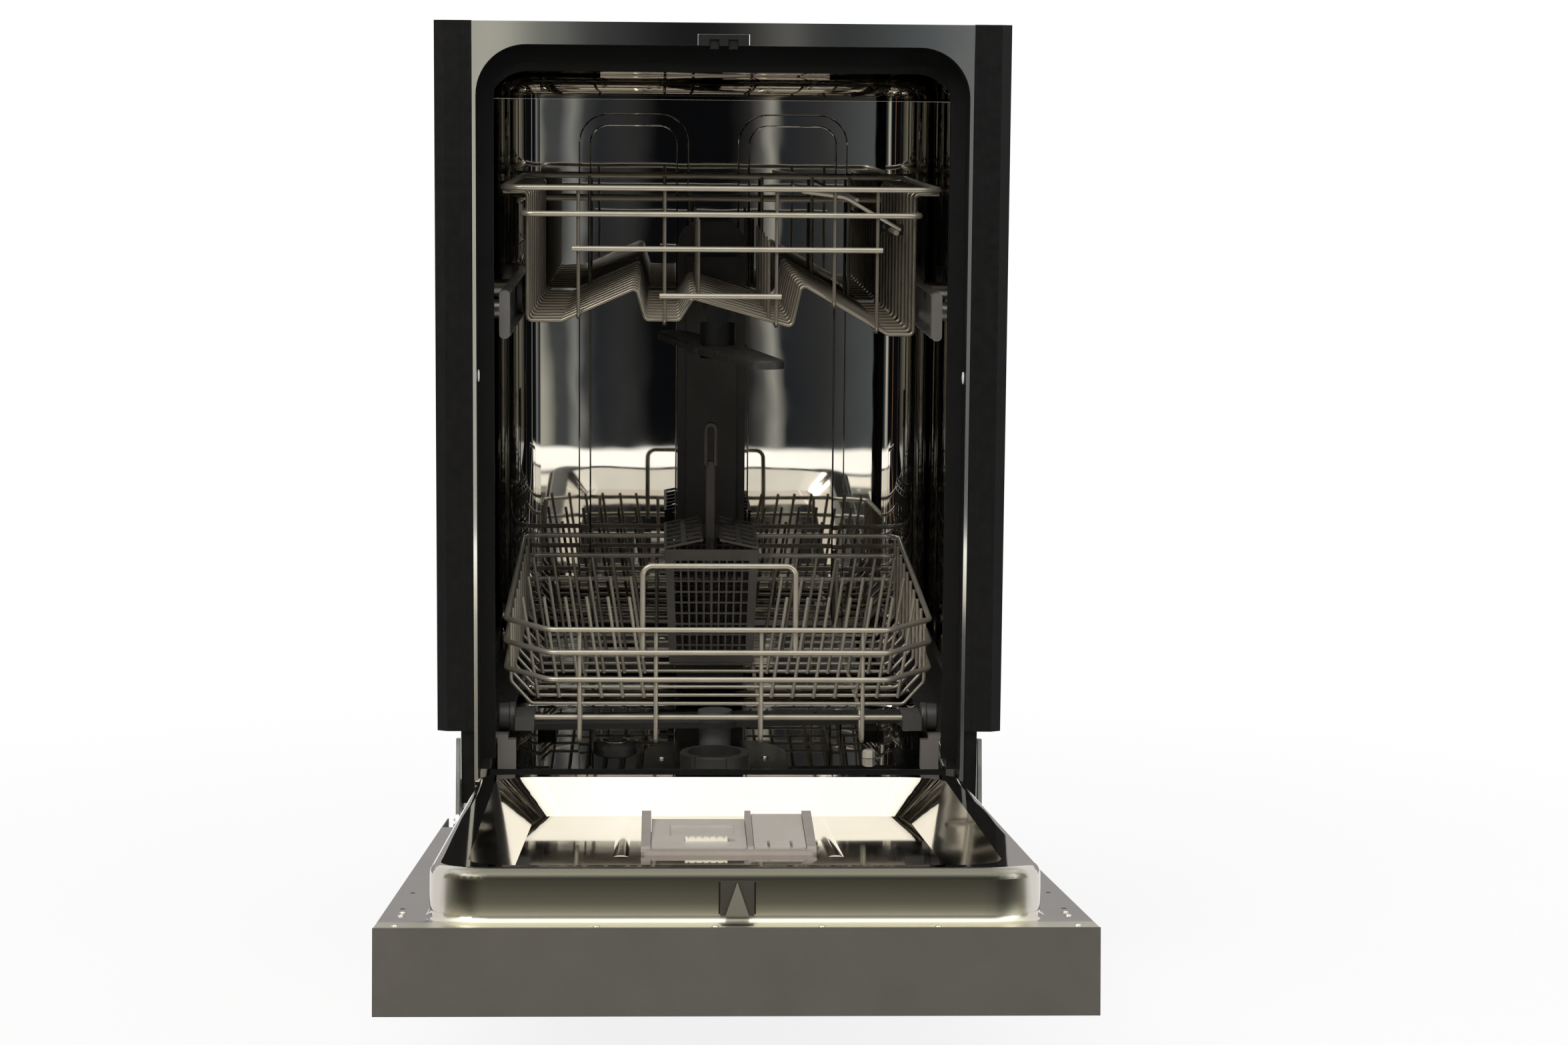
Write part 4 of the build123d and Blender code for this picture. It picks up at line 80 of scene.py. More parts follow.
class Nodes:
    """A node tree with short helpers for sums."""

    def __init__(self, tree):
        self.tree = tree

    def node(self, kind, **values):
        made = self.tree.nodes.new(kind)
        for key, value in values.items():
            if key in made.inputs:
                made.inputs[key].default_value = value
            else:
                setattr(made, key, value)
        return made

    def link(self, start, end):
        self.tree.links.new(start, end)

    def math(self, operation, first, second):
        """One sum on two sockets or numbers."""
        made = self.node("ShaderNodeMath", operation=operation)
        for socket, value in zip(made.inputs, (first, second)):
            if isinstance(value, (int, float)):
                socket.default_value = value
            else:
                self.link(value, socket)
        return made.outputs[0]

    def spread(self, source, start, end, low, high):
        """A value moved from one range to another, without passing its ends."""
        made = self.node("ShaderNodeMapRange")
        keys = ("From Min", "From Max", "To Min", "To Max")
        for key, value in zip(keys, (start, end, low, high)):
            made.inputs[key].default_value = value
        self.link(source, made.inputs["Value"])
        return made.outputs["Result"]


class Surface(Nodes):
    """A node material with short helpers for its textures."""

    def __init__(self, name):
        self.material = bpy.data.materials.new(name)
        self.material.use_nodes = True
        super().__init__(self.material.node_tree)
        self.shader = self.tree.nodes["Principled BSDF"]
        self.output = self.tree.nodes["Material Output"]

    def coordinates(self, scale=(1, 1, 1)):
        place = self.node("ShaderNodeTexCoord")
        mapping = self.node("ShaderNodeMapping")
        mapping.inputs["Scale"].default_value = scale
        self.link(place.outputs["Object"], mapping.inputs["Vector"])
        return mapping.outputs["Vector"]

    def axis(self, letter):
        """The place along one axis of the object, in metres."""
        parts = self.node("ShaderNodeSeparateXYZ")
        self.link(self.coordinates(), parts.inputs["Vector"])
        return parts.outputs[letter]

    def noise(self, scale, detail, stretch=(1, 1, 1)):
        made = self.node("ShaderNodeTexNoise", Scale=scale, Detail=detail, Roughness=0.5)
        self.link(self.coordinates(stretch), made.inputs["Vector"])
        return made.outputs["Fac"]

    def ramp(self, source, stops):
        made = self.node("ShaderNodeValToRGB")
        elements = made.color_ramp.elements
        while len(elements) < len(stops):
            elements.new(0.5)
        for element, (place, colour) in zip(elements, stops):
            element.position = place
            element.color = (*colour, 1)
        self.link(source, made.inputs["Fac"])
        return made.outputs["Color"]

    def drift(self, source, low, high):
        """Tones between two colours, as a noise runs."""
        return self.ramp(source, [(NOISE_LOW, low), (NOISE_HIGH, high)])

    def mix(self, share, first, second):
        """One colour turning into another."""
        made = self.node("ShaderNodeMix", data_type="RGBA")
        ends = {socket.identifier: socket for socket in made.inputs}
        self.link(share, ends["Factor_Float"])
        self.link(first, ends["A_Color"])
        self.link(second, ends["B_Color"])
        return {socket.identifier: socket for socket in made.outputs}["Result_Color"]

    def feed(self, source, name):
        self.link(source, self.shader.inputs[name])

    def colours(self, source, low, high):
        self.feed(self.drift(source, low, high), "Base Color")

    def roughness(self, source, low, high):
        self.feed(self.spread(source, NOISE_LOW, NOISE_HIGH, low, high), "Roughness")

    def bump(self, source, strength, distance):
        made = self.node("ShaderNodeBump", Strength=strength, Distance=distance)
        self.link(source, made.inputs["Height"])
        last = self.shader.inputs["Normal"]
        if last.is_linked:
            self.link(last.links[0].from_socket, made.inputs["Normal"])
        self.link(made.outputs["Normal"], last)

    def set(self, **values):
        for key, value in values.items():
            self.shader.inputs[key.replace("_", " ")].default_value = value


def srgb(red, green, blue):
    """A linear colour from eight-bit display values."""
    def linear(value):
        share = value / 255
        return share / 12.92 if share <= 0.04045 else ((share + 0.055) / 1.055) ** 2.4

    return tuple(linear(value) for value in (red, green, blue))


# Noise scale and detail in sheet steel, and the depth of its waves and grain
SHEET_DRIFT, SHEET_WAVE, SHEET_GLOSS, SHEET_GRAIN = (9, 3), (9, 2), (40, 4), (900, 3)
WAVE_DEPTH, GRAIN_DEPTH = 0.004, 0.0004
# The same in moulded plastic
MOULD_DRIFT, MOULD_GLOSS, MOULD_DETAIL, MOULD_DEPTH = (25, 4), (120, 4), 3, 0.0005


def steel(name, low, high, rough, grain):
    """Sheet steel: drift in tone and gloss, with fine grain."""
    made = Surface(name)
    made.set(Metallic=1.0)
    made.colours(made.noise(*SHEET_DRIFT), low, high)
    made.roughness(made.noise(*SHEET_GLOSS), *rough)
    made.bump(made.noise(*SHEET_GRAIN), grain, GRAIN_DEPTH)
    return made.material


def plastic(name, low, high, rough, grain=0.12, scale=900, specular=0.5):
    """Moulded plastic: a fine even grain with slight drift in tone."""
    made = Surface(name)
    made.set(Specular_IOR_Level=specular)
    made.colours(made.noise(*MOULD_DRIFT), low, high)
    made.roughness(made.noise(*MOULD_GLOSS), *rough)
    made.bump(made.noise(scale, MOULD_DETAIL), grain, MOULD_DEPTH)
    return made.material


def coated_wire(name, low, high, metal):
    """Silver nylon coating: soft gloss with slight metal flake."""
    made = Surface(name)
    made.set(Metallic=metal, Coat_Weight=0.25, Coat_Roughness=0.18)
    made.colours(made.noise(40, 3), low, high)
    made.roughness(made.noise(60, 3), 0.3, 0.38)
    return made.material


# Where the liner's rim turns satin, and its painted reflection and shade from low to high: pale low
# down, darker higher up
LINER_SATIN_Y, LINER_SATIN_FADE = -0.60, 0.011
LINER_FACE = (0.248, 0.272)
LINER_FACE_PAINTED_PALE = srgb(209, 206, 189)
LINER_FACE_PAINTED_SHADE_TONES = [
    (0.0, LINER_FACE_PAINTED_PALE),
    (0.12, LINER_FACE_PAINTED_PALE),
    (0.3, srgb(163, 160, 144)),
    (0.5, srgb(128, 126, 112)),
    (1.0, srgb(99, 97, 86)),
]
LINER_LOW, LINER_HIGH = srgb(196, 190, 180), srgb(208, 203, 194)
LINER_SATIN, LINER_BRIGHT = 0.34, 0.05
LINER_CROWN, LINER_BOW, LINER_WAVE = 0.02, 0.1, 0.02


def liner_steel(name):
    """Pressed steel of the door's inside.

    It is bright in the dish, and satin on the rim's front face and the flange, where a painted
    reflection and shade runs from pale low down to darker higher up.
    """
    made = Surface(name)
    made.set(Metallic=1.0)
    dish = made.spread(made.axis("Y"), LINER_SATIN_Y - LINER_SATIN_FADE, LINER_SATIN_Y, 0, 1)
    # painted reflection and shade on the satin face: pale low down, darker higher up
    painted_rise = made.spread(made.axis("Z"), *LINER_FACE, 0, 1)
    bright = made.drift(made.noise(*SHEET_DRIFT), LINER_LOW, LINER_HIGH)
    made.feed(made.mix(dish, made.ramp(painted_rise, LINER_FACE_PAINTED_SHADE_TONES), bright), "Base Color")
    made.feed(made.spread(dish, 0, 1, LINER_SATIN, LINER_BRIGHT), "Roughness")
    bow = made.math("MULTIPLY", squared(made, "X"), LINER_BOW)
    crown = made.math("MULTIPLY", made.axis("Y"), LINER_CROWN)
    made.bump(made.math("ADD", bow, crown), 1.0, 1.0)
    made.bump(made.noise(*SHEET_WAVE), LINER_WAVE, WAVE_DEPTH)
    return made.material


def squared(made, letter):
    place = made.axis(letter)
    return made.math("MULTIPLY", place, place)


TUB_LOW, TUB_HIGH = srgb(196, 194, 190), srgb(212, 210, 206)
TUB_ROUND = 40.8 * MM
TUB_SKIN = (TUB_ROUND - 0.5 * MM, TUB_ROUND - 0.3 * MM)
TUB_SATIN, TUB_GLOSS, TUB_WAVE = 0.3, (0.012, 0.028), 0.035
ROOF_FACING = (0.05, 0.15)


def tub_steel(name, low, high, roof=False):
    """Tub sheet: bright inside, satin on the outer skin, which on the roof is all that faces up."""
    made = Surface(name)
    made.set(Metallic=1.0)
    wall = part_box("tub_wrapper")[1]
    across = made.math("ABSOLUTE", made.axis("X"), 0)
    over_side = made.math("SUBTRACT", across, wall[0] - TUB_ROUND)
    over_back = made.math("SUBTRACT", made.axis("Y"), wall[1] - TUB_ROUND)
    squares = []
    for over in (over_side, over_back):
        squares.append(made.math("POWER", made.math("MAXIMUM", over, 0), 2))
    reach = made.math("SQRT", made.math("ADD", *squares), 0)
    outer = made.spread(reach, *TUB_SKIN, 0, 1)
    if roof:
        facing = made.node("ShaderNodeSeparateXYZ")
        made.link(made.node("ShaderNodeNewGeometry").outputs["Normal"], facing.inputs["Vector"])
        upward = made.spread(facing.outputs["Z"], *ROOF_FACING, 0, 1)
        outer = made.math("MAXIMUM", outer, upward)
    noise = made.noise(*SHEET_DRIFT)
    inner_tones = made.drift(noise, low, high)
    outer_tones = made.drift(noise, TUB_LOW, TUB_HIGH)
    made.feed(made.mix(outer, inner_tones, outer_tones), "Base Color")
    bright = made.spread(made.noise(*SHEET_GLOSS), NOISE_LOW, NOISE_HIGH, *TUB_GLOSS)
    made.feed(made.math("ADD", bright, made.math("MULTIPLY", outer, TUB_SATIN)), "Roughness")
    made.bump(made.noise(*SHEET_WAVE), TUB_WAVE, WAVE_DEPTH)
    return made.material


STRIKER_PLATE_FACE = (LINER_END + 1.6) * MM
STRIKER_STEP = 1 * MM
# the plate below the arrow's step is painted darker: painted shade
STRIKER_SHADE_TONES = [(0.0, srgb(66, 64, 56)), (0.4, srgb(150, 146, 132)), (1.0, srgb(122, 118, 106))]


def striker_metal(name):
    """Cast catch piece: a pale arrow standing on a plate painted darker, as painted shade where it
    sits deeper.
    """
    made = Surface(name)
    made.set(Metallic=0.3)
    behind = made.math("SUBTRACT", made.axis("Y"), PIVOT.y)
    above = made.math("SUBTRACT", made.axis("Z"), PIVOT.z)
    along_y = made.math("MULTIPLY", behind, -math.sin(DOOR_ANGLE))
    along_z = made.math("MULTIPLY", above, math.cos(DOOR_ANGLE))
    along = made.math("ADD", along_y, along_z)
    step = made.spread(along, STRIKER_PLATE_FACE, STRIKER_PLATE_FACE + STRIKER_STEP, 0, 1)
    made.feed(made.ramp(step, STRIKER_SHADE_TONES), "Base Color")
    made.roughness(made.noise(*MOULD_GLOSS), 0.3, 0.42)
    made.bump(made.noise(700, 3), 0.15, GRAIN_DEPTH)
    return made.material


# Where the painted shade inside the mouth begins and ends, and how fast
MOUTH_SHADE_START, MOUTH_SHADE_HALF, MOUTH_SHADE_TOP = 2.0 * MM, 195.9 * MM, 796.9 * MM
MOUTH_SHADE_FADE, MOUTH_SHADE_EDGE = 1 * MM, 0.2 * MM
FRAME_DRIFT, FRAME_WAVE = 0.2, 0.03
# The last stop is the painted shade inside the mouth
FRAME_AND_SHADE_TONES = [
    (0.0, srgb(204, 204, 203)),
    (FRAME_DRIFT, srgb(220, 220, 218)),
    (1.0, srgb(14, 14, 14)),
]


def frame_steel(name):
    """Front frame: bright flange, with painted shade, dark and not metal, on the inside of its
    mouth.
    """
    made = Surface(name)
    # painted shade: black, not metal and rougher inside the mouth
    inside = made.spread(made.axis("Y"), MOUTH_SHADE_START, MOUTH_SHADE_START + MOUTH_SHADE_FADE, 0, 1)
    across = made.math("ABSOLUTE", made.axis("X"), 0)
    for place, edge in ((across, MOUTH_SHADE_HALF), (made.axis("Z"), MOUTH_SHADE_TOP)):
        inside = made.math("MULTIPLY", inside, made.spread(place, edge, edge + MOUTH_SHADE_EDGE, 1, 0))
    plain = made.spread(made.noise(*SHEET_DRIFT), NOISE_LOW, NOISE_HIGH, 0, FRAME_DRIFT)
    made.feed(made.ramp(made.math("MAXIMUM", plain, inside), FRAME_AND_SHADE_TONES), "Base Color")
    made.feed(made.spread(inside, 0, 1, 1, 0), "Metallic")
    made.feed(made.spread(inside, 0, 1, 0.09, 0.4), "Roughness")
    made.bump(made.noise(*SHEET_WAVE), FRAME_WAVE, WAVE_DEPTH)
    return made.material


TRACK_STOP_DEPTH = 10.5 * MM
TRACK_FADE = 1 * MM
TRACK_TONES = [(0.0, srgb(112, 107, 102)), (1.0, srgb(36, 35, 34))]


def track_plastic(name):
    """Dark rails with paler satin stops at their front ends."""
    made = Surface(name)
    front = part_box("lower_tracks")[0].y + TRACK_STOP_DEPTH
    tone = made.spread(made.axis("Y"), front, front + TRACK_FADE, 0, 1)
    made.feed(made.ramp(tone, TRACK_TONES), "Base Color")
    made.roughness(made.noise(*MOULD_GLOSS), 0.34, 0.46)
    return made.material


TUB = tub_steel("tub_steel", TUB_LOW, TUB_HIGH)
# The roof's inside is a darker, warmer copy of the tub steel: painted shade.
TUB_ROOF_PAINTED_SHADE = tub_steel("roof_steel_painted_shade", srgb(132, 124, 114), srgb(148, 140, 130), roof=True)
FRAME_STEEL = frame_steel("frame_steel")
LINER = liner_steel("liner_steel")
ZINC = steel("zinc_steel", srgb(178, 178, 176), srgb(204, 204, 200), (0.25, 0.4), 0.2)
RUBBER = plastic("seal_rubber", srgb(7, 7, 8), srgb(13, 13, 14), (0.5, 0.62), 0.2, 1200, 0.25)
STRIP = plastic("strip_black", srgb(6, 6, 6), srgb(11, 10, 10), (0.42, 0.55), 0.15, 700, 0.22)
BASE = plastic("base_black", srgb(40, 40, 42), srgb(52, 52, 54), (0.5, 0.65))
DOOR_PAINT = plastic("door_paint", srgb(82, 78, 71), srgb(87, 83, 76), (0.42, 0.52), 0.1, 1500)
CONTROL = plastic("control_grey", srgb(80, 76, 69), srgb(85, 81, 74), (0.46, 0.58), 0.18, 1600)
KEY = plastic("key_grey", srgb(62, 60, 57), srgb(72, 70, 67), (0.3, 0.4))
WINDOW = plastic("smoked_window", srgb(12, 12, 14), srgb(20, 20, 22), (0.08, 0.14), 0.02)
BOARD = plastic("circuit_board", srgb(20, 84, 50), srgb(34, 104, 62), (0.3, 0.45))
WIRE = coated_wire("rack_coating", srgb(170, 163, 148), srgb(182, 175, 160), 0.6)
# The upper rack's coating is a darker copy of the lower rack's: painted shade.
UPPER_WIRE_PAINTED_SHADE = coated_wire("upper_rack_coating_painted_shade", srgb(128, 121, 108), srgb(142, 134, 120), 0.8)
GREY = plastic("fitting_grey", srgb(96, 93, 90), srgb(108, 105, 101), (0.4, 0.52))
WHEEL = plastic("wheel_grey", srgb(58, 57, 56), srgb(70, 68, 66), (0.36, 0.48))
DARK_GREY = plastic("column_grey", srgb(50, 47, 44), srgb(60, 57, 53), (0.36, 0.5))
ARM_GREY = plastic("arm_grey", srgb(40, 38, 36), srgb(50, 48, 45), (0.34, 0.46))
BLACK = plastic("fitting_black", srgb(14, 14, 14), srgb(22, 21, 21), (0.4, 0.52), specular=0.35)
WORKS = plastic("works_grey", srgb(92, 92, 94), srgb(108, 108, 110), (0.45, 0.6))
MILKY = plastic("milky_plastic", srgb(186, 186, 180), srgb(198, 198, 192), (0.34, 0.46), 0.05)
BASKET = plastic("basket_plastic", srgb(74, 69, 64), srgb(86, 81, 75), (0.38, 0.5))
DISPENSER = plastic(
    "dispenser_plastic", srgb(142, 134, 128), srgb(152, 144, 138), (0.36, 0.46), 0.06
)
LID = plastic("dispenser_lid", srgb(172, 166, 158), srgb(180, 174, 166), (0.34, 0.44), 0.06)
CREAM = plastic("cream_plastic", srgb(226, 218, 200), srgb(238, 231, 216), (0.28, 0.4), 0.06)
WHITE = plastic("white_plug", srgb(228, 228, 226), srgb(240, 240, 238), (0.3, 0.4), 0.05)
CHROME = steel("bright_screw", srgb(214, 210, 204), srgb(232, 228, 222), (0.12, 0.24), 0.1)
SCREEN = steel("filter_screen", srgb(150, 148, 144), srgb(176, 174, 170), (0.12, 0.2), 0.15)
STRIKER = striker_metal("striker_grey")
BITUMEN = plastic("sound_pad", srgb(34, 33, 33), srgb(46, 45, 44), (0.6, 0.8), 0.6, 160)
TRACK = track_plastic("track_plastic")

LOOKS = {
    TUB: "tub_wrapper tub_bottom_pan",
    TUB_ROOF_PAINTED_SHADE: "tub_top_pan",
    FRAME_STEEL: "tub_front_frame",
    LINER: "door_liner",
    ZINC: "counter_brackets hinge_brackets hinge_arms door_springs upper_wall_rails",
    RUBBER: "door_gasket",
    STRIP: "side_strips",
    BASE: "base_tray foot_front_left foot_front_right foot_back_left foot_back_right",
    DOOR_PAINT: "door_outer_panel kick_plate",
    CONTROL: "control_panel",
    KEY: "power_button program_button start_button",
    WINDOW: "display_window",
    BOARD: "control_board",
    WIRE: "lower_rack_rails lower_rack_wires upper_rack_rails cup_shelf",
    UPPER_WIRE_PAINTED_SHADE: "upper_rack_wires",
    GREY: "rail_end_caps",
    WHEEL: "lower_wheel_brackets lower_front_wheels lower_back_wheels",
    TRACK: "lower_tracks",
    DARK_GREY: "water_column filter_cup salt_cap upper_front_rollers upper_back_rollers",
    ARM_GREY: "lower_spray_arm upper_spray_arm",
    BLACK: "upper_rack_fittings door_latch",
    WORKS: "sump circulation_pump drain_pump softener_tank inlet_valve",
    MILKY: "air_breaker",
    BASKET: "cutlery_basket basket_lid_left basket_lid_right",
    DISPENSER: "dispenser_body",
    LID: "detergent_lid rinse_aid_lid",
    CREAM: "float_cap lid_catch",
    SCREEN: "filter_plate",
    STRIKER: "striker",
}
for material, names in LOOKS.items():
    for name in names.split():
        nodes[name].data.materials.clear()
        nodes[name].data.materials.append(material)


# Helpers for small pieces


def finish_mesh(made, name):
    mesh = bpy.data.meshes.new(name)
    bmesh.ops.recalc_face_normals(made, faces=made.faces)
    made.to_mesh(mesh)
    made.free()
    return mesh


def add_mesh(name, made, material, body, smooth=True):
    """Puts a mesh in the scene as a piece of one body."""
    mesh = finish_mesh(made, name)
    mesh.materials.append(material)
    if smooth:
        for face in mesh.polygons:
            face.use_smooth = True
    piece = bpy.data.objects.new(name, mesh)
    scene.collection.objects.link(piece)
    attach(piece, body)
    return piece


def door_point(x, height, depth):
    """A place on the open door.

    Height above the pivot and depth from the inner plane are those of the closed door.
    """
    return PIVOT + DOOR_TURN @ Vector((x * MM, depth * MM, height * MM))


def circle(sides):
    """Cosine and sine of each corner of a regular figure."""
    angles = [2 * math.pi * number / sides for number in range(sides)]
    return [(math.cos(angle), math.sin(angle)) for angle in angles]


def close_loops(made, loops):
    """Joins rings of corners into one closed form."""
    for low, high in zip(loops, loops[1:]):
        for number in range(len(low)):
            after = (number + 1) % len(low)
            made.faces.new((low[number], low[after], high[after], high[number]))
    made.faces.new(list(reversed(loops[0])))
    made.faces.new(loops[-1])


def turned(made, profile, sides, place, axis):
    """A lathed form from (radius, height) points, standing at a place along an axis."""
    pose = Matrix.Translation(place) @ Vector(axis).to_track_quat("Z", "Y").to_matrix().to_4x4()
    rings = []
    for radius, height in profile:
        spots = [Vector((radius * x, radius * y, height)) * MM for x, y in circle(sides)]
        rings.append([made.verts.new(pose @ spot) for spot in spots])
    close_loops(made, rings)


def lattice(made, corners, across, upward, thick):
    """A sheet with square holes: corners run round from low left, every second cell is open."""
    low_left, low_right, high_right, high_left = corners
    sheet = bmesh.new()
    rows = []
    for v in upward:
        left, right = low_left.lerp(high_left, v), low_right.lerp(high_right, v)
        rows.append([sheet.verts.new(left.lerp(right, u)) for u in across])
    for level in range(len(upward) - 1):
        for number in range(len(across) - 1):
            if level % 2 and number % 2:
                continue
            low, high = rows[level], rows[level + 1]
            sheet.faces.new((low[number], low[number + 1], high[number + 1], high[number]))
    bmesh.ops.recalc_face_normals(sheet, faces=sheet.faces)
    middle = sum(corners, Vector()) / 4
    if sheet.faces[:][0].normal.dot(middle - BASKET_MIDDLE) < 0:
        bmesh.ops.reverse_faces(sheet, faces=sheet.faces)
    bmesh.ops.solidify(sheet, geom=sheet.faces[:], thickness=thick)
    mesh = bpy.data.meshes.new("part")
    sheet.to_mesh(mesh)
    sheet.free()
    made.from_mesh(mesh)
    bpy.data.meshes.remove(mesh)


def breaks(length, edges, bar, count):
    """Shares of a length where a frame, bars and the openings between them begin and end."""
    start, end = edges[0], length - edges[1]
    opening = (end - start - (count - 1) * bar) / count
    places = [0.0]
    for number in range(count):
        low = start + number * (opening + bar)
        places += [low, low + opening]
    return [place / length for place in places + [length]]


STRAP_SIDES, STRAP_ROUND = 16, 0.35


def strap(made, path, width, thick, across):
    """A flat bar with rounded edges along a path; its width lies along one fixed direction."""
    outline = []
    for wide, deep in circle(STRAP_SIDES):
        wide = math.copysign(abs(wide) ** STRAP_ROUND, wide)
        deep = math.copysign(abs(deep) ** STRAP_ROUND, deep)
        outline.append((wide * width / 2, deep * thick / 2))
    rings = []
    for number, place in enumerate(path):
        before, after = path[max(number - 1, 0)], path[min(number + 1, len(path) - 1)]
        out = (after - before).normalized().cross(across).normalized()
        rings.append([made.verts.new(place + across * wide + out * deep) for wide, deep in outline])
    close_loops(made, rings)


def arc(centre, radius, start, end, steps, first, second):
    """Points on an arc between two angles, in the plane of two directions."""
    points = []
    for number in range(steps + 1):
        angle = math.radians(start + (end - start) * number / steps)
        points.append(centre + radius * (math.cos(angle) * first + math.sin(angle) * second))
    return points


# Cutlery basket: a fine lattice that narrows downwards, with a looped handle


BASKET_LOW, BASKET_HIGH = (Vector(corner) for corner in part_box("cutlery_basket"))
BASKET_RIM = BASKET_LOW.z + 103 * MM
BASKET_MIDDLE = (BASKET_LOW + BASKET_HIGH) / 2
BASKET_MIDDLE.z = (BASKET_LOW.z + BASKET_RIM) / 2
BASKET_TAPER, BASKET_SHEET = 4.5 * MM, 1.6 * MM
# Frame edges, bars and numbers of openings, in millimetres
BASKET_BAR, BASKET_BANDS, BASKET_POSTS = 1.5, (7.0, 10.0), (7.0, 7.0)
BASKET_ROWS, BASKET_COLUMNS, BASKET_SIDE_COLUMNS = 9, 10, 21
FLOOR_EDGES, FLOOR_BAR, FLOOR_COLUMNS, FLOOR_ROWS = (6, 6), 2.5, 6, 13
DIVIDER_BAR, DIVIDER_POSTS, DIVIDER_BANDS = 4, (8, 8), (10, 12)
DIVIDER_COLUMNS, DIVIDER_ROWS = 8, 4
HANDLE_WIDTH, HANDLE_LOOP, HANDLE_DEPTH = 3.6 * MM, 4.4 * MM, 18 * MM
HANDLE_STEM, HANDLE_FOOT, HANDLE_SLOT, HANDLE_SINK = 9 * MM, 30 * MM, 36 * MM, 3 * MM
HANDLE_ARC_STEPS = 14


def basket_corner(side_x, side_y, level):
    """A corner of the basket, drawn in at the bottom."""
    draw = BASKET_TAPER * (1 - level)
    x = BASKET_HIGH.x - draw if side_x > 0 else BASKET_LOW.x + draw
    y = BASKET_HIGH.y - draw if side_y > 0 else BASKET_LOW.y + draw
    return Vector((x, y, BASKET_LOW.z + (BASKET_RIM - BASKET_LOW.z) * level))


def basket_wall(made, start, end, columns):
    """One wall between two corners, each given by its sides."""
    low = [basket_corner(*start, 0), basket_corner(*end, 0)]
    high = [basket_corner(*end, 1), basket_corner(*start, 1)]
    across = breaks((low[1] - low[0]).length / MM, BASKET_POSTS, BASKET_BAR, columns)
    upward = breaks((BASKET_RIM - BASKET_LOW.z) / MM, BASKET_BANDS, BASKET_BAR, BASKET_ROWS)
    lattice(made, low + high, across, upward, BASKET_SHEET)


def basket_floor(made):
    floor = [basket_corner(x, y, 0) for x, y in QUADRANTS]
    width, length = (floor[1] - floor[0]).length / MM, (floor[2] - floor[1]).length / MM
    across = breaks(width, FLOOR_EDGES, FLOOR_BAR, FLOOR_COLUMNS)
    upward = breaks(length, FLOOR_EDGES, FLOOR_BAR, FLOOR_ROWS)
    lattice(made, floor, across, upward, BASKET_SHEET)


def basket_divider(made):
    near, far = BASKET_LOW.y + 2 * BASKET_TAPER, BASKET_HIGH.y - 2 * BASKET_TAPER
    low, high = BASKET_LOW.z + BASKET_SHEET, BASKET_RIM
    spots = ((near, low), (far, low), (far, high), (near, high))
    across = breaks((far - near) / MM, DIVIDER_POSTS, DIVIDER_BAR, DIVIDER_COLUMNS)
    upward = breaks((high - low) / MM, DIVIDER_BANDS, DIVIDER_BAR, DIVIDER_ROWS)
    corners = [Vector((BASKET_MIDDLE.x, y, z)) for y, z in spots]
    lattice(made, corners, across, upward, BASKET_SHEET)


def basket_handle(made):
    """A stem on the divider with a long loop on top."""
    def spot(x, z):
        return Vector((BASKET_MIDDLE.x + x, BASKET_MIDDLE.y, z))

    slot_low = BASKET_HIGH.z - HANDLE_SLOT
    stem = [spot(0, BASKET_RIM - HANDLE_FOOT), spot(0, slot_low)]
    strap(made, stem, HANDLE_STEM, HANDLE_STEM, X_AXIS)
    crown = spot(0, BASKET_HIGH.z - HANDLE_LOOP - HANDLE_WIDTH / 2)
    loop = [spot(HANDLE_LOOP, slot_low - HANDLE_SINK)]
    loop += arc(crown, HANDLE_LOOP, 0, 180, HANDLE_ARC_STEPS, X_AXIS, Z_AXIS)
    loop += [spot(-HANDLE_LOOP, slot_low - HANDLE_SINK)]
    strap(made, loop, HANDLE_DEPTH, HANDLE_WIDTH, Y_AXIS)


def cutlery_basket():
    made = bmesh.new()
    basket_wall(made, (-1, -1), (1, -1), BASKET_COLUMNS)
    basket_wall(made, (1, 1), (-1, 1), BASKET_COLUMNS)
    basket_wall(made, (1, -1), (1, 1), BASKET_SIDE_COLUMNS)
    basket_wall(made, (-1, 1), (-1, -1), BASKET_SIDE_COLUMNS)
    basket_floor(made)
    basket_divider(made)
    basket_handle(made)
    piece = add_mesh("basket_lattice", made, BASKET, "basket", smooth=False)
    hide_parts("cutlery_basket")


cutlery_basket()


# Small fasteners and trim, in millimetres


def fasteners(name, seats, profile, sides, material, body):
    """A group of like lathed pieces on one body, each with its place and axis."""
    made = bmesh.new()
    for place, axis in seats:
        turned(made, profile, sides, place, axis)
    add_mesh(name, made, material, body)


def door_seats(spots):
    return [(door_point(x, height, 0), DOOR_NORMAL) for x, height in spots]


SCREW_SIDES, PLUG_SIDES = 20, 24
SCREW_PROFILE = [
    (2.4, 0.02),
    (2.4, 0.35),
    (2.0, 0.75),
    (1.3, 0.95),
    (0.8, 0.95),
    (0.65, 0.5),
    (0.2, 0.45),
]
SCREW_ROW, SCREW_XS = 634, (-87, -14, 52, 124)
SCREW_EDGE, SCREW_HEIGHTS = 211, (566, 582, 630)
screw_spots = [(x, SCREW_ROW) for x in SCREW_XS]
screw_spots += [(side * SCREW_EDGE, height) for side in SIDES for height in SCREW_HEIGHTS]
fasteners(
    "liner_screws",
    door_seats(screw_spots),
    SCREW_PROFILE,
    SCREW_SIDES,
    CHROME,
    "door",
)

HOLE_PROFILE = [(1.7, 0.02), (1.7, 0.12), (1.3, 0.2), (0.4, 0.2)]
HOLE_EDGE, HOLE_HEIGHTS = 213, (460, 545)
fasteners(
    "liner_holes",
    door_seats([(side * HOLE_EDGE, height) for side in SIDES for height in HOLE_HEIGHTS]),
    HOLE_PROFILE,
    SCREW_SIDES,
    BLACK,
    "door",
)

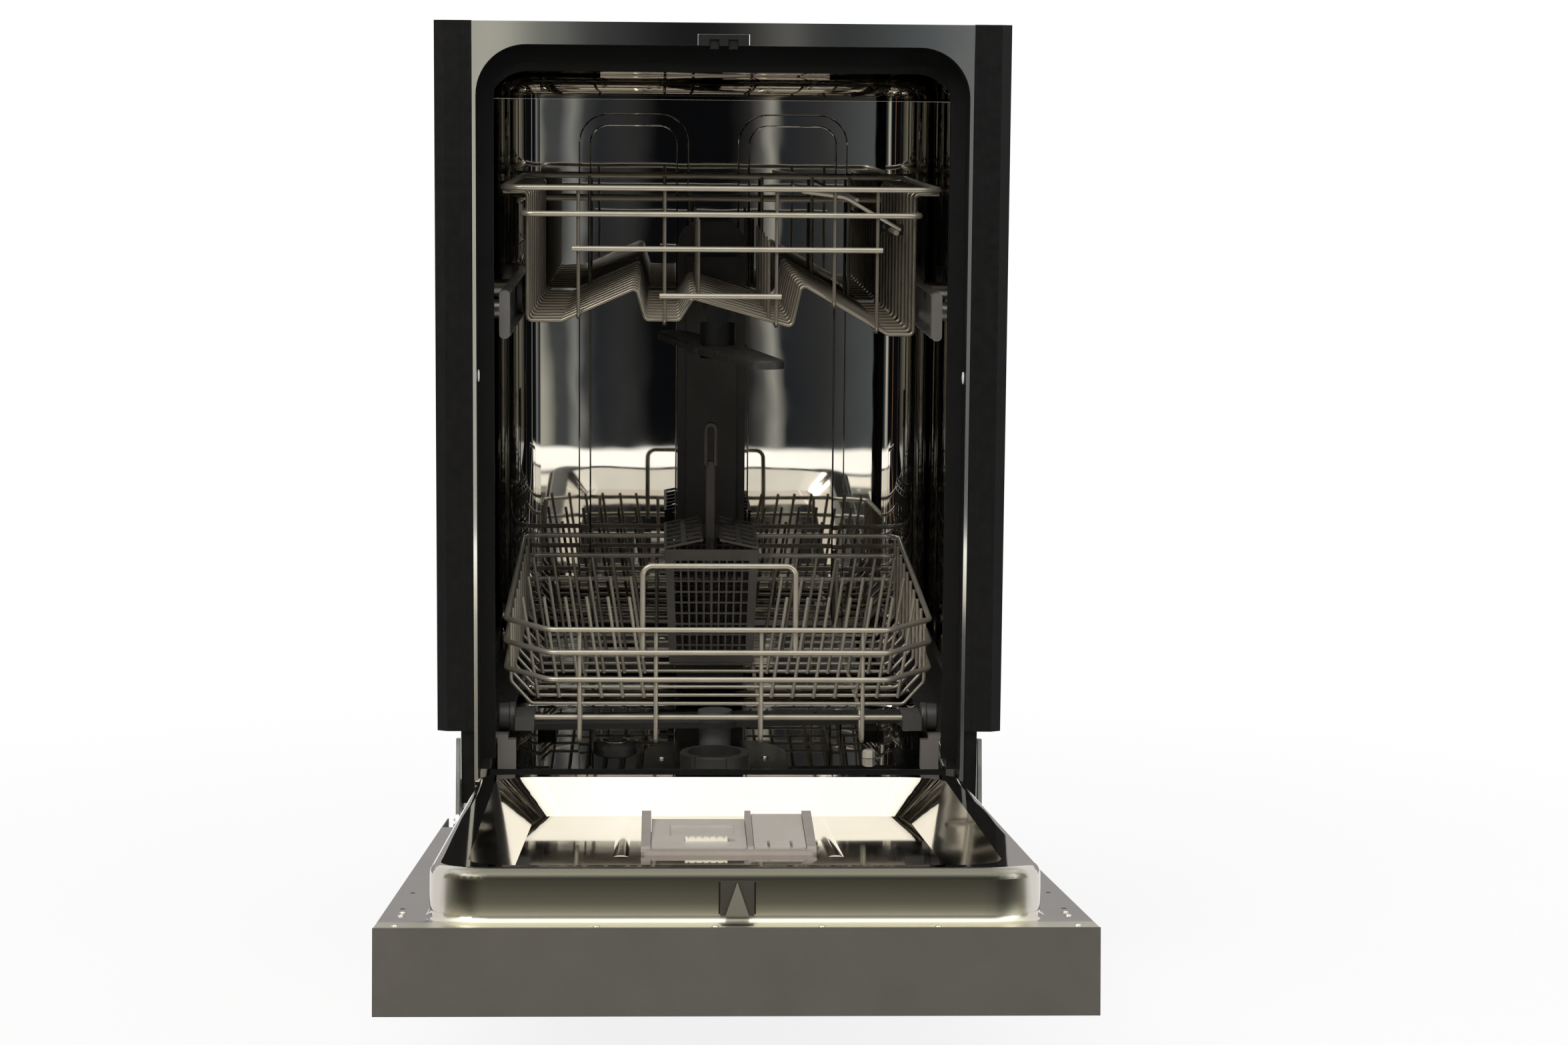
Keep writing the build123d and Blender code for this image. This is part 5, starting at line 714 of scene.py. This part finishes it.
PLUG_PROFILE = [(5.0, 0.0), (5.0, 0.5), (4.2, 1.0), (2.0, 1.3)]
PLUG_X, PLUG_Y, PLUG_Z = 195.4, 22, 533
fasteners(
    "mouth_plugs",
    [(Vector((side * PLUG_X, PLUG_Y, PLUG_Z)) * MM, (-side, 0, 0)) for side in SIDES],
    PLUG_PROFILE,
    PLUG_SIDES,
    WHITE,
    "cabinet",
)

FLOOR_SCREW = [(3.2, 0.0), (3.2, 0.8), (2.6, 1.5), (1.2, 1.7), (0.9, 1.0), (0.3, 0.95)]
FLOOR_SCREW_PLACES, FLOOR_SCREW_Z = ((-47, 187), (43, 192)), 186.3
fasteners(
    "filter_screws",
    [(Vector((x, y, FLOOR_SCREW_Z)) * MM, Z_AXIS) for x, y in FLOOR_SCREW_PLACES],
    FLOOR_SCREW,
    SCREW_SIDES,
    CHROME,
    "cabinet",
)

CAP_LOW, CAP_HIGH = (Vector(corner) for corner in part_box("salt_cap"))
RING_SEAT, RING_SIDES = 6, 40
RING_PROFILE = [
    (10.8, 0.0),
    (13.4, 0.0),
    (13.8, 0.5),
    (13.4, 1.1),
    (12.2, 1.4),
    (11.1, 1.1),
    (10.8, 0.5),
]


def salt_ring():
    """The bright ring pressed into the top of the salt cap."""
    made = bmesh.new()
    seat = (CAP_LOW + CAP_HIGH) / 2
    seat.z = CAP_LOW.z + RING_SEAT * MM
    rings = []
    for x, y in circle(RING_SIDES):
        spots = [Vector((x * radius, y * radius, height)) * MM for radius, height in RING_PROFILE]
        rings.append([made.verts.new(seat + spot) for spot in spots])
    for number, here in enumerate(rings):
        there = rings[(number + 1) % RING_SIDES]
        for corner in range(len(RING_PROFILE)):
            after = (corner + 1) % len(RING_PROFILE)
            made.faces.new((here[corner], there[corner], there[after], here[after]))
    add_mesh("salt_ring", made, CHROME, "salt_lid")


salt_ring()

# Joints beside the striker: edges across, depths, and each loop's inset and lift
GAP_EDGES, GAP_DEPTHS = (10.6, 11.6), (6.0, 26.0)
GAP_LOOPS = ((0.0, 0.05), (0.0, 0.2), (0.2, 0.35))
# Slot below it: half sizes, place, and each loop's share and lift
NOTCH_HALF, NOTCH_REACH, NOTCH_PLACE = 10.0, 3.0, LINER_END + 7.5
NOTCH_LOOPS = ((1.0, 0.05), (1.0, 0.3), (0.85, 0.5))
NOTCH_SIDES = 32


def striker_gaps():
    """The dark joints beside the striker's plate and the slot in the flange below it."""
    made = bmesh.new()
    for side in SIDES:
        loops = []
        for inset, lift in GAP_LOOPS:
            near, far = GAP_EDGES[0] + inset, GAP_EDGES[1] - inset
            low, high = GAP_DEPTHS[0] + inset, GAP_DEPTHS[1] - inset
            spots = [(near, low), (far, low), (far, high), (near, high)]
            points = [door_point(side * x, LINER_END + lift, depth) for x, depth in spots]
            loops.append([made.verts.new(point) for point in points])
        close_loops(made, loops)
    loops = []
    for share, lift in NOTCH_LOOPS:
        loop = []
        for x, y in circle(NOTCH_SIDES):
            along = NOTCH_PLACE + share * NOTCH_REACH * y
            loop.append(made.verts.new(door_point(share * NOTCH_HALF * x, along, lift)))
        loops.append(loop)
    close_loops(made, loops)
    add_mesh("striker_gaps", made, BLACK, "door", smooth=False)


striker_gaps()

PAD_THICK, PAD_BEVEL, PAD_CORNER, PAD_ARC_STEPS = 1.8, 0.5, 14, 6
# Places and half sizes of the pads
PAD_Y, PAD_LEVELS = 275, (352, 602)
PAD_RIGHT_HALF, PAD_BACK_HALF, PAD_ROOF_HALF = (160, 115), (145, 115), (145, 150)
PAD_LEFT_LEVELS = ((272, (160, 38)), (682, (160, 52)))


def sound_pad(made, middle, across, upward, half):
    """A heavy sheet with round corners, glued flat on the outside of the tub."""
    out = across.cross(upward)
    loops = []
    for inset, depth in ((0, 0), (0, PAD_THICK - PAD_BEVEL), (PAD_BEVEL, PAD_THICK)):
        loop = []
        for quarter, (side_u, side_v) in enumerate(((1, 1), (-1, 1), (-1, -1), (1, -1))):
            for step in range(PAD_ARC_STEPS + 1):
                angle = math.radians(90 * (quarter + step / PAD_ARC_STEPS))
                u = side_u * (half[0] - PAD_CORNER) + (PAD_CORNER - inset) * math.cos(angle)
                v = side_v * (half[1] - PAD_CORNER) + (PAD_CORNER - inset) * math.sin(angle)
                loop.append(made.verts.new((middle + across * u + upward * v + out * depth) * MM))
        loops.append(loop)
    close_loops(made, loops)


def sound_pads():
    """Pads on the sides, back and top of the tub, clear of the air breaker."""
    low, high = (Vector(corner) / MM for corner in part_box("tub_wrapper"))
    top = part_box("tub_top_pan")[1][2] / MM
    made = bmesh.new()
    for level in PAD_LEVELS:
        sound_pad(made, Vector((high.x, PAD_Y, level)), Y_AXIS, Z_AXIS, PAD_RIGHT_HALF)
        sound_pad(made, Vector((0, high.y, level)), -X_AXIS, Z_AXIS, PAD_BACK_HALF)
    for level, half in PAD_LEFT_LEVELS:
        sound_pad(made, Vector((low.x, PAD_Y, level)), -Y_AXIS, Z_AXIS, half)
    sound_pad(made, Vector((0, PAD_Y, top)), X_AXIS, Y_AXIS, PAD_ROOF_HALF)
    add_mesh("sound_pads", made, BITUMEN, "cabinet", smooth=False)


sound_pads()


# Stage, light and camera, in metres


def stage_piece(name, made, material):
    mesh = bpy.data.meshes.new(name)
    made.to_mesh(mesh)
    made.free()
    mesh.materials.append(material)
    piece = bpy.data.objects.new(name, mesh)
    scene.collection.objects.link(piece)
    return piece


def stage_plane(name, corners, material):
    made = bmesh.new()
    made.faces.new([made.verts.new(corner) for corner in corners])
    return stage_piece(name, made, material)


def only_mirrored(piece):
    """Keeps a stage piece out of sight except in polished metal."""
    piece.visible_camera = False
    piece.visible_diffuse = False
    piece.visible_shadow = False
    piece.visible_transmission = False


def background_share(made):
    """One where the background itself is looked at, straight on, mirrored or through glass."""
    path = made.node("ShaderNodeLightPath")
    seen = made.math("MAXIMUM", path.outputs["Is Camera Ray"], path.outputs["Is Glossy Ray"])
    return made.math("MAXIMUM", seen, path.outputs["Is Transmission Ray"])


FLOOR_GLOW, FLOOR_FADE, FLOOR_REACH = 0.86, (0.5, 1.5), 12
FLOOR_LOW, FLOOR_HIGH = (0.86, 0.86, 0.86), (0.9, 0.9, 0.9)


def pale_floor():
    """Near-white floor that keeps a soft shadow."""
    made = Surface("pale_floor")
    made.set(Roughness=0.9)
    made.colours(made.noise(3, 3), FLOOR_LOW, FLOOR_HIGH)
    glow = made.node("ShaderNodeEmission", Strength=1.0)
    glow.inputs["Color"].default_value = (1, 1, 1, 1)
    blend = made.node("ShaderNodeMixShader")
    far = made.math("POWER", made.math("ADD", squared(made, "X"), squared(made, "Y")), 0.5)
    share = made.spread(far, *FLOOR_FADE, FLOOR_GLOW, 1.0)
    made.link(made.math("MULTIPLY", background_share(made), share), blend.inputs["Fac"])
    made.link(made.shader.outputs[0], blend.inputs[1])
    made.link(glow.outputs[0], blend.inputs[2])
    made.link(blend.outputs[0], made.output.inputs["Surface"])
    return made.material


stage_plane("floor", [(x * FLOOR_REACH, y * FLOOR_REACH, 0) for x, y in QUADRANTS], pale_floor())


def shine(made, along, tones, light):
    """Makes a material glow in tones that are placed along a direction."""
    low, high = tones[0][0], tones[-1][0]
    stops = [((place - low) / (high - low), tone) for place, tone in tones]
    glow = made.node("ShaderNodeEmission", Strength=light)
    made.link(made.ramp(made.spread(along, low, high, 0, 1), stops), glow.inputs["Color"])
    made.link(glow.outputs[0], made.output.inputs["Surface"])


def mirrored_card(name, corners, letter, tones, light):
    """A flat card that only polished metal sees, toned along one axis."""
    made = Surface(name)
    shine(made, made.axis(letter), tones, light)
    only_mirrored(stage_plane(name, corners, made.material))


# Plain tones of the mirrored cards
DIM, SHADE, SLATE = srgb(14, 15, 17), srgb(41, 44, 49), srgb(59, 59, 59)
DUSK, ASH, SILVER = srgb(77, 80, 80), srgb(96, 101, 103), srgb(147, 148, 145)
STRAW, PALE, IVORY = srgb(170, 167, 150), srgb(183, 181, 171), srgb(216, 213, 196)
COPPER, UMBER = srgb(168, 112, 84), srgb(38, 36, 34)
SAND, LINEN, BRIGHT = srgb(201, 193, 173), srgb(224, 218, 203), srgb(244, 241, 232)

# Upright bands of the curved card before the machine, from left to right
ROOM_TONES = [
    (-3.0, STRAW),
    (-2.1, DIM),
    (-1.34, DIM),
    (-1.28, COPPER),
    (-1.22, DIM),
    (-0.66, DIM),
    (-0.58, SLATE),
    (-0.46, SILVER),
    (-0.36, IVORY),
    (-0.31, IVORY),
    (-0.295, DUSK),
    (-0.245, DUSK),
    (-0.235, SILVER),
    (-0.222, PALE),
    (-0.21, SHADE),
    (-0.13, SLATE),
    (-0.07, DIM),
    (0.10, DIM),
    (0.16, SLATE),
    (0.185, PALE),
    (0.21, SHADE),
    (0.30, SLATE),
    (0.42, ASH),
    (0.50, SILVER),
    (0.58, SHADE),
    (0.80, DIM),
    (1.14, DIM),
    (1.20, PALE),
    (1.26, DIM),
    (2.1, DIM),
    (3.0, STRAW),
]
ROOM_SWAY, ROOM_LIGHT = 0.035, 1.0
ROOM_RADIUS, ROOM_LOW, ROOM_HIGH, ROOM_MIDDLE_Y = 3.4, -0.6, 2.4, 0.2
# Start and sweep of its arc, in half turns
ROOM_START, ROOM_SWEEP, ROOM_STEPS = 1.06, 0.88, 48
DARK_NEAR, DARK_FAR, DARK_HALF, DARK_HEIGHT = -0.72, -3.3, 2.2, 0.004


def room_card():
    """A dim card with pale upright bands, for the polished steel to mirror."""
    made = Surface("room_card")
    noise = made.noise(1.4, 2, (1, 1, 0.8))
    sway = made.spread(noise, NOISE_LOW, NOISE_HIGH, -ROOM_SWAY, ROOM_SWAY)
    shine(made, made.math("ADD", made.axis("X"), sway), ROOM_TONES, ROOM_LIGHT)
    return made.material


def room():
    """A curved card round the front, and the dark floor before it, seen only in reflections."""
    card = room_card()
    made = bmesh.new()
    rows = []
    for number in range(ROOM_STEPS + 1):
        angle = math.pi * (ROOM_START + ROOM_SWEEP * number / ROOM_STEPS)
        x, y = ROOM_RADIUS * math.cos(angle), ROOM_RADIUS * math.sin(angle) + ROOM_MIDDLE_Y
        rows.append([made.verts.new((x, y, z)) for z in (ROOM_LOW, ROOM_HIGH)])
    for first, second in zip(rows, rows[1:]):
        made.faces.new((first[0], second[0], second[1], first[1]))
    only_mirrored(stage_piece("room", made, card))
    spots = ((-1, DARK_FAR), (1, DARK_FAR), (1, DARK_NEAR), (-1, DARK_NEAR))
    corners = [(x * DARK_HALF, y, DARK_HEIGHT) for x, y in spots]
    only_mirrored(stage_plane("dark_floor", corners, card))


room()

# A low pale ledge before the door, for the liner's front face and the lower back wall to mirror
SILL_LIGHT, SILL_HALF, SILL_Y = 1.9, 0.42, -1.25
SILL_LOW, SILL_HIGH = 0.15, 0.238
SILL_TONES = [
    (0.0, DUSK),
    (0.06, SAND),
    (0.24, SAND),
    (0.28, UMBER),
    (0.34, LINEN),
    (0.50, LINEN),
    (0.54, UMBER),
    (0.60, BRIGHT),
    (0.92, BRIGHT),
    (1.0, DUSK),
]
sill_spots = ((-1, SILL_LOW), (1, SILL_LOW), (1, SILL_HIGH), (-1, SILL_HIGH))
mirrored_card(
    "sill_card",
    [(x * SILL_HALF, SILL_Y, z) for x, z in sill_spots],
    "Z",
    [(SILL_LOW + share * (SILL_HIGH - SILL_LOW), tone) for share, tone in SILL_TONES],
    SILL_LIGHT,
)

CARD_LIGHT = 2.3
CEILING_Z, CEILING_HALF, CEILING_NEAR, CEILING_FAR = 2.9, 2.4, -2.6, 1.4
CEILING_TONES = [
    (CEILING_NEAR, (0.9, 0.89, 0.87)),
    (-0.50, (0.86, 0.86, 0.81)),
    (CEILING_FAR, (0.3, 0.3, 0.3)),
]
ceiling_spots = ((-1, CEILING_NEAR), (1, CEILING_NEAR), (1, CEILING_FAR), (-1, CEILING_FAR))
mirrored_card(
    "ceiling",
    [(x * CEILING_HALF, y, CEILING_Z) for x, y in ceiling_spots],
    "Y",
    CEILING_TONES,
    CARD_LIGHT,
)

BACK_Y, BACK_HALF, BACK_LOW, BACK_HIGH = 2.4, 3.0, -0.2, 1.3
BACK_TONES = [
    (BACK_LOW, (0.14, 0.135, 0.135)),
    (0.6, (0.17, 0.165, 0.165)),
    (BACK_HIGH, (0.21, 0.21, 0.21)),
]
back_spots = ((-1, BACK_LOW), (1, BACK_LOW), (1, BACK_HIGH), (-1, BACK_HIGH))
mirrored_card(
    "back_wall",
    [(x * BACK_HALF, BACK_Y, z) for x, z in back_spots],
    "Z",
    BACK_TONES,
    CARD_LIGHT,
)


def lamp(name, place, target, size, power, colour=(1, 1, 1)):
    data = bpy.data.lights.new(name, "AREA")
    data.shape = "RECTANGLE"
    data.size, data.size_y = size
    data.energy = power
    data.color = colour
    light = bpy.data.objects.new(name, data)
    scene.collection.objects.link(light)
    light.location = place
    light.rotation_mode = "QUATERNION"
    light.rotation_quaternion = (Vector(target) - Vector(place)).to_track_quat("-Z", "Y")


lamp("key", (-1.6, -2.4, 2.6), (0, -0.2, 0.4), (1.6, 1.2), 60, (1.0, 0.98, 0.95))
lamp("fill", (2.2, -2.0, 1.6), (0, 0, 0.4), (1.4, 1.6), 24, (0.95, 0.97, 1.0))
lamp("top", (0, -0.6, 3.0), (0, -0.3, 0.2), (2.4, 2.0), 36)

# White where it is looked at, and weaker as light on the machine
AMBIENT = 0.3
world = bpy.data.worlds.new("studio")
scene.world = world
world.use_nodes = True
sky = Nodes(world.node_tree)
back = sky.tree.nodes["Background"]
back.inputs["Color"].default_value = (1, 1, 1, 1)
sky.link(sky.spread(background_share(sky), 0, 1, AMBIENT, 1.0), back.inputs["Strength"])

camera_data = bpy.data.cameras.new("camera")
camera_data.sensor_width = SENSOR_WIDTH
camera_data.lens = CAMERA_LENS
camera_data.clip_end = CLIP_END
camera = bpy.data.objects.new("camera", camera_data)
scene.collection.objects.link(camera)
scene.camera = camera
forward = Vector(
    (
        math.sin(CAMERA_YAW) * math.cos(CAMERA_PITCH),
        math.cos(CAMERA_YAW) * math.cos(CAMERA_PITCH),
        -math.sin(CAMERA_PITCH),
    )
)
level_right = Vector((math.cos(CAMERA_YAW), -math.sin(CAMERA_YAW), 0))
level_up = level_right.cross(forward)
right = math.cos(CAMERA_ROLL) * level_right + math.sin(CAMERA_ROLL) * level_up
up = -math.sin(CAMERA_ROLL) * level_right + math.cos(CAMERA_ROLL) * level_up
camera_turn = Matrix((right, up, -forward)).transposed().to_4x4()
camera.matrix_world = Matrix.Translation(CAMERA_PLACE) @ camera_turn

scene.view_settings.view_transform = "Standard"
